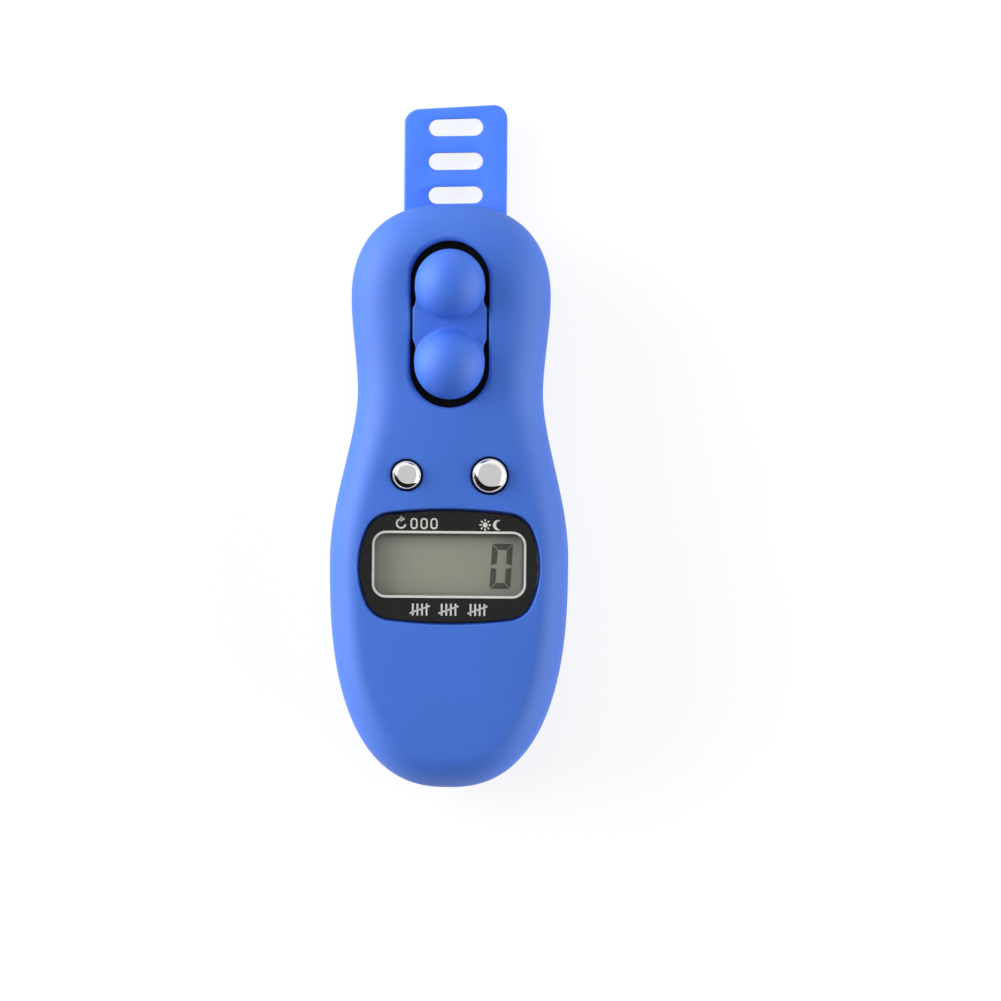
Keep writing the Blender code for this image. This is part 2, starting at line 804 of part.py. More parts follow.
def band_slot_y(index):
    return band_end - SLOT_MARGIN - index * SLOT_PITCH


def make_rear_shell():
    bm = bmesh.new()
    add_rings(bm, rear_rings(0, split - SEAM_GAP / 2))
    shell = piece("rear_shell", bm, "case")
    combine(shell, skin_helper("rear_cavity", rear_rings(WALL, split + OVERRUN)), "DIFFERENCE")
    limit = skin_helper("rear_rib_limit", rear_rings(WALL / 2, split + OVERRUN))

    door_recess_high = door_high + TIGHT
    roof_low = channel_bottom - CHANNEL_WALL
    roof = rectangle(
        2 * (channel_half_width + CHANNEL_WALL), half_length - roof_low, (0, (roof_low + half_length) / 2)
    )
    ledge = helper(
        "rear_ledges",
        add_prism,
        (door_outline(DOOR_LEDGE), 0, door_recess_high + DOOR_LEDGE),
        (roof, 0, channel_top),
    )
    cup = helper("rear_cup", add_cylinder, ((0, cell_y), cup_radius, 0, cup_top, 2 * ROUND_POINTS))
    post_high = split - SEAM_GAP / 2
    posts = helper(
        "rear_posts",
        add_cylinder,
        *[(place, POST_RADIUS, 0, post_high) for place in case_screw_places()],
        ((0, door_screw_y), POST_RADIUS, 0, cup_top),
    )
    for ribs in (ledge, cup, posts):
        combine(ribs, limit, "INTERSECT")
        combine(shell, ribs, "UNION")
    lip = lip_ring(
        "rear_lip", WALL - LIP_THICKNESS, WALL + LIP_CLEARANCE / 2, split - LIP_HEIGHT, split + LIP_HEIGHT
    )
    combine(shell, lip, "UNION")

    below = -OVERRUN
    recess = helper("door_recess", add_prism, (door_outline(TIGHT), below, door_recess_high))
    combine(shell, recess, "DIFFERENCE")
    bore = ((0, cell_y), cell_bore, below, cup_ceiling, 2 * ROUND_POINTS)
    combine(shell, helper("cell_bore", add_cylinder, bore), "DIFFERENCE")
    channel = rectangle(
        2 * channel_half_width, band_end - channel_bottom, (0, (band_end + channel_bottom) / 2)
    )
    combine(shell, helper("band_channel", add_prism, (channel, below, channel_high)), "DIFFERENCE")

    hole = SCREW_RADIUS + HOLE_CLEARANCE
    pilot = SCREW_RADIUS + PILOT_CLEARANCE
    well = (well_radius, below, CASE_SCREW_FLOOR, SCREW_POINTS * 2)
    heads = [(place, *well) for place in case_screw_places()]
    combine(shell, helper("screw_wells", add_cylinder, *heads), "DIFFERENCE")
    shanks = [(place, hole, 0, split + OVERRUN, SCREW_POINTS) for place in case_screw_places()]
    door_pilot_top = door_screw_seat() + DOOR_SCREW_LENGTH + CLEARANCE
    shanks.append(((0, door_screw_y), pilot, 0, door_pilot_top, SCREW_POINTS))
    combine(shell, helper("screw_holes", add_cylinder, *shanks), "DIFFERENCE")

    slots = [
        ((x, door_tab_y()), door_tab_pocket(), door_high - TIGHT, door_tab_high() + CLEARANCE)
        for x in door_tab_places()
    ]
    anchor = (0, BAND_ROOT_Y + BAND_THICKNESS / 2)
    anchor_size = (BAND_WIDTH + 2 * CLEARANCE, BAND_THICKNESS + 2 * CLEARANCE)
    slots.append((anchor, anchor_size, channel_high - OVERRUN, channel_top + OVERRUN))
    negative = (0, negative_leg_y())
    leg = (CONTACT_WIDTH + 2 * CLEARANCE, CONTACT_THICKNESS + 2 * CLEARANCE)
    slots.append((negative, leg, cell_high, cup_top + OVERRUN))
    side = (positive_contact_x(), cell_y)
    pocket = (2 * (CELL_EDGE + CONTACT_THICKNESS + CLEARANCE), CONTACT_WIDTH + 2 * CLEARANCE)
    slots.append((side, pocket, door_recess_high, cup_top + OVERRUN))
    combine(shell, helper("rear_slots", add_box, *slots), "DIFFERENCE")

    bridge_length = 2 * (channel_half_width + CHANNEL_WALL / 2)
    bridge_outline = rectangle(bridge_length, BRIDGE_WIDTH, (0, bridge_y + BRIDGE_WIDTH / 2))
    bridge = helper("band_bridge", add_prism, (bridge_outline, 0, BRIDGE_THICKNESS))
    combine(bridge, skin_helper("rear_bridge_limit", rear_rings(TIGHT, split)), "INTERSECT")
    combine(shell, bridge, "UNION")
    peg_outline = stadium_across(PEG_LENGTH, PEG_WIDTH, (0, peg_y))
    peg = helper("band_peg", add_prism, (peg_outline, BRIDGE_THICKNESS, channel_high + CLEARANCE))
    combine(shell, peg, "UNION")
    return shell


def stadium_across(length, width, centre):
    """A stadium that lies along X."""
    return [(y + centre[0], -x + centre[1]) for x, y in stadium(width, length, MIDDLE, SLOT_STEPS)]


def door_screw_seat():
    return door_low + DOOR_SCREW_HEAD_THICKNESS + TIGHT


def door_tab_high():
    return door_high + CLEARANCE + DOOR_TAB_THICKNESS


def door_tab_y():
    return door_top + (DOOR_TAB_REACH - DOOR_TAB_ROOT) / 2


def door_tab_pocket():
    return (DOOR_TAB_WIDTH + 2 * CLEARANCE, DOOR_TAB_REACH + DOOR_TAB_ROOT + 2 * CLEARANCE)


def negative_leg_y():
    return cell_y + cell_bore - CONTACT_LEG_INSET


def positive_contact_x():
    return -(CELL_DIAMETER / 2 + CELL_EDGE)


# Bead slider and what carries it


def make_bead_slider():
    radius = BEAD_DIAMETER / 2
    profile = [(0, flange_low), (radius, flange_low)]
    for step in range(SPHERE_STEPS + 1):
        turn = math.pi / 2 * step / SPHERE_STEPS
        profile.append((radius * math.cos(turn), plate_high + radius * math.sin(turn)))
    origin = (0, bead_y, plate_high)
    centres = [(0, bead_y + side * BEAD_PITCH / 2) for side in (-1, 1)]
    bm = bmesh.new()
    add_turned(bm, profile, centres[1], 2 * ROUND_POINTS)
    slider = piece("bead_slider", bm, "bead", origin)
    lower = helper("lower_bead", add_turned, (profile, centres[0], 2 * ROUND_POINTS))
    half_plate, half_flange = PLATE_WIDTH / 2, FLANGE_WIDTH / 2
    outline = [
        (flange_low, -half_flange),
        (flange_high, -half_flange),
        (flange_high, -half_plate),
        (plate_high - PLATE_CHAMFER, -half_plate),
        (plate_high, -half_plate + PLATE_CHAMFER),
    ]
    outline = outline + [(z, -x) for z, x in outline[::-1]]
    reach = BEAD_PITCH / 2
    bar = helper("slider_bar", add_prism, (outline[::-1], bead_y - reach, bead_y + reach, "zxy"))
    combine(slider, bar, "UNION")
    combine(slider, lower, "UNION")
    bores = [
        (centre, BEAD_BORE_DIAMETER / 2, flange_low - OVERRUN, plate_high + BEAD_BORE_RISE)
        for centre in centres
    ]
    combine(slider, helper("bead_bores", add_cylinder, *bores), "DIFFERENCE")
    return slider


def make_slider_retainer():
    bm = bmesh.new()
    add_prism(bm, body_outline(RETAINER_INSET), retainer_low, retainer_high)
    retainer = piece("slider_retainer", bm, "black")
    length = 2 * (RETAINER_SCREW_Y + RETAINER_OVERHANG)
    limit = helper(
        "retainer_limit",
        add_box,
        ((0, bead_y), (RETAINER_WIDTH, length), retainer_low - OVERRUN, retainer_high + OVERRUN),
    )
    combine(retainer, limit, "INTERSECT")
    lug_high = retainer_high + LUG_HEIGHT
    lugs = [
        (
            (0, bead_y + side * (LUG_Y + LUG_THICKNESS / 2)),
            (LUG_WIDTH, LUG_THICKNESS),
            mixed(retainer_low, retainer_high, 0.5),
            lug_high,
        )
        for side in (-1, 1)
    ]
    combine(retainer, helper("spring_lugs", add_box, *lugs), "UNION")
    window = ((0, bead_y), (WIPER_WINDOW_WIDTH, WIPER_WINDOW_LENGTH))
    window = helper("wiper_window", add_box, (*window, retainer_low - OVERRUN, retainer_high + OVERRUN))
    combine(retainer, window, "DIFFERENCE")
    hole = SCREW_RADIUS + HOLE_CLEARANCE
    holes = [
        (place, hole, retainer_low - OVERRUN, retainer_high + OVERRUN, SCREW_POINTS)
        for place in retainer_screw_places()
    ]
    combine(retainer, helper("retainer_holes", add_cylinder, *holes), "DIFFERENCE")
    return retainer


def make_spring(name, start, stop, height):
    """A compression spring along Y, its wire an open helix with flat ends."""
    radius = (SPRING_DIAMETER - SPRING_WIRE) / 2
    steps = SPRING_TURNS * SPRING_POINTS
    points = []
    for step in range(steps + 1):
        turn = 2 * math.pi * SPRING_TURNS * step / steps
        y = mixed(start, stop, step / steps)
        points.append((radius * math.sin(turn), y, height + radius * math.cos(turn)))
    curve = bpy.data.curves.new(name, "CURVE")
    curve.dimensions = "3D"
    curve.bevel_depth = SPRING_WIRE / 2
    curve.bevel_resolution = 0
    curve.use_fill_caps = True
    line = curve.splines.new("POLY")
    line.points.add(len(points) - 1)
    for target, point in zip(line.points, points):
        target.co = (*point, 1.0)
    spring = bpy.data.objects.new(name, curve)
    curve.materials.append(FINISHES["steel"])
    bpy.context.scene.collection.objects.link(spring)
    return spring


def make_springs():
    bore_wall = BEAD_PITCH / 2 - math.sqrt((BEAD_BORE_DIAMETER**2 - SPRING_DIAMETER**2) / 4)
    near = bore_wall + SPRING_WIRE / 2 + TIGHT
    far = LUG_Y - SPRING_WIRE / 2 - TIGHT
    height = retainer_high + CLEARANCE + SPRING_DIAMETER / 2
    make_spring("centring_spring_upper", bead_y + near, bead_y + far, height)
    make_spring("centring_spring_lower", bead_y - near, bead_y - far, height)


def make_contact_wiper():
    """The bent leaf under the slider that closes the counting contact on the board."""
    top = flange_low - TIGHT - WIPER_THICKNESS / 2
    low = board_high + TIGHT + WIPER_THICKNESS
    heel = bead_y + WIPER_FOOT / 2
    tip = heel + WIPER_REACH
    path = [
        (bead_y - WIPER_FOOT / 2, top),
        (heel, top),
        *[(mixed(heel, tip, share), low) for share in WIPER_TOE_SHARES],
        (tip + WIPER_THICKNESS * 2, low + WIPER_THICKNESS * 2),
    ]
    bm = bmesh.new()
    add_prism(bm, strip(path, WIPER_THICKNESS), -WIPER_WIDTH / 2, WIPER_WIDTH / 2, "yzx")
    return piece("contact_wiper", bm, "bronze", (0, bead_y, top))


# Push buttons


def make_button(name, x, diameter):
    """A domed cap with the lip that keeps it in the case, the switch under it and the switch's plunger."""
    radius = diameter / 2
    switch_low = board_high + TIGHT
    switch_high = switch_low + SWITCH_HEIGHT
    plunger_high = switch_high + PLUNGER_RISE
    lip_high = body_depth - WALL - CROWN - TIGHT
    shoulder = body_depth - CROWN / 2
    rise = diameter * BUTTON_RISE_SHARE
    ball = (radius * radius + rise * rise) / (2 * rise)
    spread = math.asin(radius / ball)
    profile = [
        (0, plunger_high + TIGHT),
        (STEM_RADIUS, plunger_high + TIGHT),
        (STEM_RADIUS, lip_high - BUTTON_FLANGE_THICKNESS),
        (radius + BUTTON_LIP, lip_high - BUTTON_FLANGE_THICKNESS),
        (radius + BUTTON_LIP, lip_high),
        (radius, lip_high),
    ]
    for step in range(DOME_STEPS + 1):
        turn = spread * (1 - step / DOME_STEPS)
        profile.append((ball * math.sin(turn), shoulder + rise - ball * (1 - math.cos(turn))))
    centre = (x, button_y)
    bm = bmesh.new()
    add_turned(bm, profile, centre)
    piece(name + "_button", bm, "chrome", (x, button_y, shoulder))

    bm = bmesh.new()
    add_box(bm, centre, (SWITCH_SIZE, SWITCH_SIZE), switch_low, switch_high)
    switch = piece(name + "_switch", bm, "black")
    bore_low = switch_high - PLUNGER_SINK - BUTTON_TRAVEL - TIGHT
    bore = (centre, PLUNGER_RADIUS + TIGHT, bore_low, switch_high + OVERRUN, 2 * SCREW_POINTS)
    combine(switch, helper(name + "_switch_bore", add_cylinder, bore), "DIFFERENCE")

    bm = bmesh.new()
    add_cylinder(bm, centre, PLUNGER_RADIUS, switch_high - PLUNGER_SINK, plunger_high, 2 * SCREW_POINTS)
    piece(name + "_plunger", bm, "white", (x, button_y, switch_high))


# Display


def make_display():
    centre = (0, lens_y)
    width, height = lcd_width, lcd_height
    bm = bmesh.new()
    levels = ((0, lens_low), (0, lens_high - LENS_CHAMFER), (-LENS_CHAMFER, lens_high))
    add_rings(bm, [[(*point, z) for point in lens_outline(grow)] for grow, z in levels])
    piece("display_lens", bm, "lens")

    bm = bmesh.new()
    add_box(bm, centre, (width, height), lcd_low, lcd_high)
    piece("lcd_panel", bm, "lcd")

    inner = (width + 2 * CLEARANCE, height + 2 * CLEARANCE)
    outer = rounded_outline(
        inner[0] + 2 * HOLDER_WALL, inner[1] + 2 * HOLDER_WALL, HOLDER_WALL, HOLDER_WALL, centre=centre
    )
    bm = bmesh.new()
    add_prism(bm, outer, board_high + TIGHT, lcd_low + HOLDER_GRIP)
    holder = piece("lcd_holder", bm, "white")
    hollow = helper("holder_hollow", add_box, (centre, inner, board_high - OVERRUN, lcd_high + OVERRUN))
    combine(holder, hollow, "DIFFERENCE")

    zebra_y = lens_y + height / 2 - ZEBRA_WIDTH / 2
    bm = bmesh.new()
    add_box(bm, (0, zebra_y), (window_width, ZEBRA_WIDTH), board_high + TIGHT, lcd_low - TIGHT)
    piece("zebra_connector", bm, "rubber")

    guide_top = zebra_y - ZEBRA_WIDTH / 2 - CLEARANCE
    guide_bottom = lens_y - height / 2
    guide_left = -width / 2 + LED_WIDTH + CLEARANCE
    guide_centre = ((guide_left + width / 2) / 2, (guide_top + guide_bottom) / 2)
    bm = bmesh.new()
    add_box(bm, guide_centre, (width / 2 - guide_left, guide_top - guide_bottom), guide_low, guide_high)
    piece("light_guide", bm, "clear")

    led = (-width / 2 + LED_WIDTH / 2, guide_centre[1])
    bm = bmesh.new()
    add_box(bm, led, (LED_WIDTH, LED_LENGTH), board_high + TIGHT, board_high + TIGHT + LED_HEIGHT)
    piece("backlight_led", bm, "white")


# Circuit board


def make_circuit_board():
    bm = bmesh.new()
    add_prism(bm, body_outline(BOARD_INSET), board_low, board_high)
    board = piece("circuit_board", bm, "board")
    top = half_length * BOARD_TOP_SHARE
    bottom = half_length * BOARD_BOTTOM_SHARE
    low, high = board_low - OVERRUN, board_high + OVERRUN
    limit = helper("board_limit", add_box, ((0, (top + bottom) / 2), (bulge_width, top - bottom), low, high))
    combine(board, limit, "INTERSECT")
    notch = POST_RADIUS + CLEARANCE
    hole = SCREW_RADIUS + HOLE_CLEARANCE
    notches = helper(
        "board_notches",
        add_cylinder,
        *[(place, notch, low, high) for place in case_screw_places()],
        *[(place, hole, low, high, SCREW_POINTS) for place in board_screw_places()],
    )
    combine(board, notches, "DIFFERENCE")

    low = board_high + TIGHT
    dome = [(CHIP_RADIUS * radius, low + CHIP_HEIGHT * rise) for radius, rise in CHIP_DOME_SHARES]
    profile = [(0, low)] + dome + [(0, low + CHIP_HEIGHT)]
    bm = bmesh.new()
    add_turned(bm, profile, (0, chip_y))
    piece("controller_chip", bm, "black")
    for name, side in (("supply_capacitor", 1), ("timing_resistor", -1)):
        bm = bmesh.new()
        size = (SMALL_PART_LENGTH, SMALL_PART_WIDTH)
        add_box(bm, (side * SMALL_PART_X, chip_y), size, low, low + SMALL_PART_HEIGHT)
        piece(name, bm, "rubber")


# Battery


def make_battery():
    radius = CELL_DIAMETER / 2
    profile = (
        (0, cell_low),
        (radius - CELL_EDGE, cell_low),
        (radius, cell_low + CELL_EDGE),
        (radius, cell_high - CELL_EDGE * 2),
        (radius - CELL_EDGE, cell_high - CELL_EDGE),
        (radius - CELL_EDGE * 2, cell_high),
        (0, cell_high),
    )
    bm = bmesh.new()
    add_turned(bm, profile, (0, cell_y), 2 * ROUND_POINTS)
    piece("coin_cell", bm, "steel")

    half = CONTACT_THICKNESS / 2
    flat = cup_ceiling - TIGHT - half
    touch = cell_high + TIGHT + half
    end = board_low - TIGHT
    leg = negative_leg_y()
    path = [
        (cell_y - CONTACT_WIDTH, flat - TIGHT),
        (cell_y - CONTACT_WIDTH * CONTACT_TOUCH_SHARE, touch),
        (cell_y + CONTACT_WIDTH * CONTACT_TOUCH_SHARE, touch),
        (cell_y + CONTACT_WIDTH, flat),
        (leg, flat),
        (leg, end),
    ]
    bm = bmesh.new()
    add_prism(bm, strip(path, CONTACT_THICKNESS), -CONTACT_WIDTH / 2, CONTACT_WIDTH / 2, "yzx")
    piece("negative_contact", bm, "bronze")

    outer = positive_contact_x()
    near = outer + CELL_EDGE - TIGHT - half
    path = [
        (cell_low + CLEARANCE, outer),
        (mixed(cell_low, cell_high, 0.5), near),
        (cell_high, outer),
        (end, outer),
    ]
    bm = bmesh.new()
    span = (cell_y - CONTACT_WIDTH / 2, cell_y + CONTACT_WIDTH / 2)
    add_prism(bm, strip(path, CONTACT_THICKNESS), *span, "zxy")
    piece("positive_contact", bm, "bronze")


def make_battery_door():
    bm = bmesh.new()
    add_prism(bm, door_outline(-TIGHT), door_low, door_high)
    door = piece("battery_door", bm, "case")
    tab_low = door_high + CLEARANCE
    root = door_top - DOOR_TAB_ROOT
    tip = door_top + DOOR_TAB_REACH
    seat = mixed(door_low, door_high, 0.5)
    hook = [
        (root, seat),
        (door_top - TIGHT * 2, seat),
        (door_top - TIGHT * 2, tab_low),
        (tip, tab_low),
        (tip, door_tab_high()),
        (root, door_tab_high()),
    ]
    half = DOOR_TAB_WIDTH / 2
    tabs = [(hook, x - half, x + half, "yzx") for x in door_tab_places()]
    combine(door, helper("door_tabs", add_prism, *tabs), "UNION")
    place = (0, door_screw_y)
    well = helper(
        "door_well",
        add_cylinder,
        (place, well_radius, -OVERRUN, door_screw_seat() + TIGHT),
    )
    combine(door, well, "DIFFERENCE")
    hole = (place, SCREW_RADIUS + HOLE_CLEARANCE, -OVERRUN, door_high + OVERRUN, SCREW_POINTS)
    combine(door, helper("door_hole", add_cylinder, hole), "DIFFERENCE")
    return door


# Finger band


def leaned(outline):
    """Moves the band's outline sideways in its channel and tilts its free end, as it lies."""
    moved = []
    for x, y in outline:
        slide = BAND_SHIFT * smoothstep((y - BAND_ROOT_Y) / (peg_y - BAND_ROOT_Y))
        tail = smoothstep((y - band_slot_y(0)) / SLOT_MARGIN)
        tilt = mixed(BAND_SLOT_LEAN, BAND_END_LEAN, tail)
        tilt *= smoothstep((y - peg_y) / (half_length - peg_y))
        moved.append((x + slide, y + x * tilt))
    return moved


def band_outline():
    """The flat band from above, with points along its sides so that it can lie askew."""
    half, steps = BAND_WIDTH / 2, SLOT_COUNT * 2
    side = [
        (half, mixed(BAND_ROOT_Y, band_end - BAND_CORNER, step / steps)) for step in range(steps)
    ]
    for step in range(CORNER_STEPS + 1):
        turn = math.pi / 2 * step / CORNER_STEPS
        x = half - BAND_CORNER * (1 - math.cos(turn))
        y = band_end - BAND_CORNER * (1 - math.sin(turn))
        side.append((x, y))
    return leaned(side + [(-x, y) for x, y in side[::-1]])


def make_finger_band():
    bm = bmesh.new()
    add_prism(bm, band_outline(), band_low, band_high)
    band = piece("finger_band", bm, "band")
    slots = [
        (
            leaned(stadium_across(SLOT_LENGTH, SLOT_WIDTH, (0, band_slot_y(index)))),
            band_low - CLEARANCE,
            band_high + CLEARANCE,
        )
        for index in range(SLOT_COUNT)
    ]
    neck = BAND_ROOT_Y + BAND_THICKNESS / 2
    neck_low = band_low + BAND_THICKNESS / 2
    bulb_low = channel_top + TIGHT
    neck_high = bulb_low + BAND_BULB_HEIGHT / 2
    anchor = helper("band_neck", add_box, ((0, neck), (BAND_WIDTH, BAND_THICKNESS), neck_low, neck_high))
    bulb_outline = rounded_outline(
        BAND_BULB_WIDTH,
        BAND_BULB_HEIGHT,
        BAND_BULB_HEIGHT / 3,
        BAND_BULB_HEIGHT / 3,
        centre=(neck, bulb_low + BAND_BULB_HEIGHT / 2),
    )
    half = BAND_WIDTH / 2 - TIGHT
    bulb = helper("band_bulb", add_prism, (bulb_outline, -half, half, "yzx"))
    combine(band, anchor, "UNION")
    combine(band, bulb, "UNION")
    combine(band, helper("band_slots", add_prism, *slots), "DIFFERENCE")
    return band


def make_screws():
    for index, place in enumerate(case_screw_places(), 1):
        make_screw(f"case_screw_{index}", place, CASE_SCREW_FLOOR - TIGHT, CASE_SCREW_LENGTH)
    for index, place in enumerate(board_screw_places(), 1):
        make_screw(f"board_screw_{index}", place, board_low - TIGHT, BOARD_SCREW_LENGTH)
    for index, place in enumerate(retainer_screw_places(), 1):
        make_screw(f"retainer_screw_{index}", place, retainer_low - TIGHT, RETAINER_SCREW_LENGTH)
    seat = door_screw_seat()
    place = (0, door_screw_y)
    make_screw("battery_door_screw", place, seat, DOOR_SCREW_LENGTH, DOOR_SCREW_HEAD_THICKNESS)


def main():
    for old in list(bpy.data.objects):
        bpy.data.objects.remove(old, do_unlink=True)
    make_finishes()
    make_front_shell()
    make_rear_shell()
    make_bead_slider()
    make_slider_retainer()
    make_springs()
    make_contact_wiper()
    make_button("reset", RESET_X, RESET_DIAMETER)
    make_button("light", LIGHT_X, LIGHT_DIAMETER)
    make_display()
    make_circuit_board()
    make_battery()
    make_battery_door()
    make_finger_band()
    make_screws()


main()
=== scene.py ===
"""Builds the looks of a digital tally counter around its CAD frame, and the studio it is photographed in.

The counter lies on its back: +X to the right of its face, +Y towards its bead end, +Z out of its face.
"""

import math

import bmesh
import bpy
from bpy.props import FloatProperty, FloatVectorProperty, IntProperty, PointerProperty
from bpy.types import Operator, Panel, PropertyGroup
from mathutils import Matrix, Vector
from mathutils.bvhtree import BVHTree


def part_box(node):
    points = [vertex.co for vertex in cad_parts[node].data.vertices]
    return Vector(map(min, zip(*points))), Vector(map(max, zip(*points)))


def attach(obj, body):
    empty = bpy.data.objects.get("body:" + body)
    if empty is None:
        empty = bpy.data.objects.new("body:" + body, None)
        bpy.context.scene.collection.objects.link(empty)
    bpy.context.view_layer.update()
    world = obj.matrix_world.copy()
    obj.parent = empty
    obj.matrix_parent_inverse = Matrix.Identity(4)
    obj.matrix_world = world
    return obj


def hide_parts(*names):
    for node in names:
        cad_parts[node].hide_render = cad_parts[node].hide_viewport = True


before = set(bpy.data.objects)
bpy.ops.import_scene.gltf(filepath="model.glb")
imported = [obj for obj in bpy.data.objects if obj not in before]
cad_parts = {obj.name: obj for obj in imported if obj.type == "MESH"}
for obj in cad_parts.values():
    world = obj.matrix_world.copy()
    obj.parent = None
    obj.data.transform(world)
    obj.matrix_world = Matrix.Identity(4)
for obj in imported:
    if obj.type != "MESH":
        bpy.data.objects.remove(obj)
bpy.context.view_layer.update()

bl_info = {
    "name": "Digital tally counter",
    "version": (1, 0, 0),
    "blender": (4, 5, 0),
    "location": "View3D > Sidebar > Tally counter",
    "description": "Models the looks of a digital tally counter around its CAD frame",
    "category": "Object",
}

MM = 0.001
# Points closer than this become one
WELD = 0.000002
# How far a cutter passes the skin that it opens
OVERRUN = 0.003
# A height over every skin of the counter
ABOVE = 0.025
# Faces that meet at less than this angle are shaded as one skin
SMOOTH_ANGLE = math.radians(30)
# How far a cutter's flared mouth turns, and how many radii it then runs straight on
FLARE_END = math.radians(75)
FLARE_RUN = 4

# How full the outline is along the flanks, round the bead end and round the display end
FLANK_POWER = 0.91
BEAD_END_POWERS = (2.2, 2.5)
DISPLAY_END_POWERS = (2.6, 2.43)
# Shares of each half's height that its rounding takes, and of a quarter turn that the front's makes
FRONT_ROUNDING = 0.72
REAR_ROUNDING = 0.70
FRONT_TURN = 0.965
# Ends of the crowned face's ridge, as shares of half the length
RIDGE_LOW = -0.62
RIDGE_HIGH = 0.60

# Middles of the printed frame, the digit, the arrow and the sun that begin two marks, and the third mark
FRAME_CENTRE = (0.02 * MM, -9.315 * MM)
DIGIT_CENTRE = (7.07 * MM, -9.51 * MM)
RESET_MARK = (-6.5 * MM, -3.8 * MM)
LAMP_MARK = (4.85 * MM, -3.93 * MM)
TALLY_MARK_Y = -15.42 * MM

# The slot of the band that the peg holds, counted from the free end
PEG_SLOT = 4


# Colours and settings


def srgb(code):
    """A hex colour as linear red, green and blue."""
    parts = [int(code[start : start + 2], 16) / 255 for start in (1, 3, 5)]
    return tuple(part / 12.92 if part <= 0.04045 else ((part + 0.055) / 1.055) ** 2.4 for part in parts)


def length(name, description, millimetres):
    return FloatProperty(
        name=name, description=description, default=millimetres * MM, min=0.0, precision=5, unit="LENGTH"
    )


def shift(name, description, across, along):
    place = (across * MM, along * MM)
    return FloatVectorProperty(
        name=name, description=description, size=2, default=place, precision=5, unit="LENGTH"
    )


def rotation(name, description, degrees):
    return FloatProperty(name=name, description=description, default=math.radians(degrees), unit="ROTATION")


def share(name, description, default):
    return FloatProperty(name=name, description=description, default=default, min=-1.0, max=1.0)


def brightness(name, description, default):
    return FloatProperty(name=name, description=description, default=default)


def colour(name, description, code):
    return FloatVectorProperty(
        name=name, description=description, subtype="COLOR", size=3, min=0.0, max=1.0, default=srgb(code)
    )


def middle(node):
    low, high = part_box(node)
    return (low + high) / 2


def extent(node):
    low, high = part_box(node)
    return high - low


class CaseSettings(PropertyGroup):
    coat: colour("Coat", "Colour of the soft-touch coat on both case halves", "#3462be")
    head_width: length("Head width", "Width of the body beside its beads", 27.0)
    waist_width: length("Waist width", "Width of the body at its narrowest", 25.1)
    head_share: share("Head place", "Where the head is widest, as a share of half the length", 0.681)
    waist_share: share("Waist place", "Where the waist is, as a share of half the length", 0.350)
    bulge_share: share("Bulge place", "Where the body is widest, as a share of half the length", -0.216)
    wall: length("Wall", "Thickness of the moulded walls", 1.5)
    crown: length("Crown", "How far the face rises to its middle", 0.4)
    edge_bulge: length("Edge at the bulge", "Width of the face's rounding where the body is widest", 4.3)
    edge_head: length("Edge at the head", "Width of the face's rounding beside the beads", 6.8)
    edge_rear: length("Rear edge", "Width of the rounding of the back", 4.0)
    seam_gap: length("Seam", "Gap between the two halves", 0.2)
    seam_edge: length("Seam edge", "Chamfer on both sides of the seam", 0.12)
    roll: length("End roll", "Radius of the edge at both ends of the bead opening", 0.65)
    side_roll: length("Side roll", "Radius of the edge along both sides of the bead opening", 0.3)
    hole_edge: length("Hole edge", "Radius of the edges of the button holes", 0.22)
    recess_edge: length("Recess edge", "Radius of the edge of the lens recess", 0.14)
    rim_points: IntProperty(
        name="Outline points", description="Points round the outline of the body", default=264, min=48
    )


class SliderSettings(PropertyGroup):
    plastic: colour("Plastic", "Colour of the moulded beads", "#3262c6")
    bead: length("Bead", "Diameter of each bead", 9.5)
    pitch: length("Pitch", "Distance between the two beads", 10.85)
    place: shift("Place", "How far beads and opening lie from the middle of the solid slider", -0.15, -0.13)
    plate_width: length("Plate width", "Width of the plate that joins the beads", 10.0)
    plate_sink: length("Plate sink", "Depth of the plate below the face", 0.35)
    plate_edge: length("Plate edge", "Radius of the edge of the plate", 0.22)
    foot: length("Bead foot", "Radius of the fillet between a bead and the plate", 0.38)
    side_gap: length("Side gap", "Gap between the plate and the case", 0.33)
    end_gap: length("End gap", "Gap between a bead and the end of the opening", 1.1)


class ButtonSettings(PropertyGroup):
    chrome: colour("Chrome", "Colour of the chrome plate", "#e4e4e6")
    reset: length("Reset button", "Diameter of the reset button", 3.8)
    light: length("Light button", "Diameter of the light button", 4.6)
    gap: length("Gap", "Gap between a button and its hole", 0.3)
    rim: length("Rim", "Width of the rounded rim outside each dome", 0.16)
    flat: share("Flat", "Share of a dome's radius that is nearly flat", 0.58)
    crown: rotation("Crown", "Slope where the flat part ends", 7)
    fall: rotation("Fall", "Slope at the dome's edge", 48)


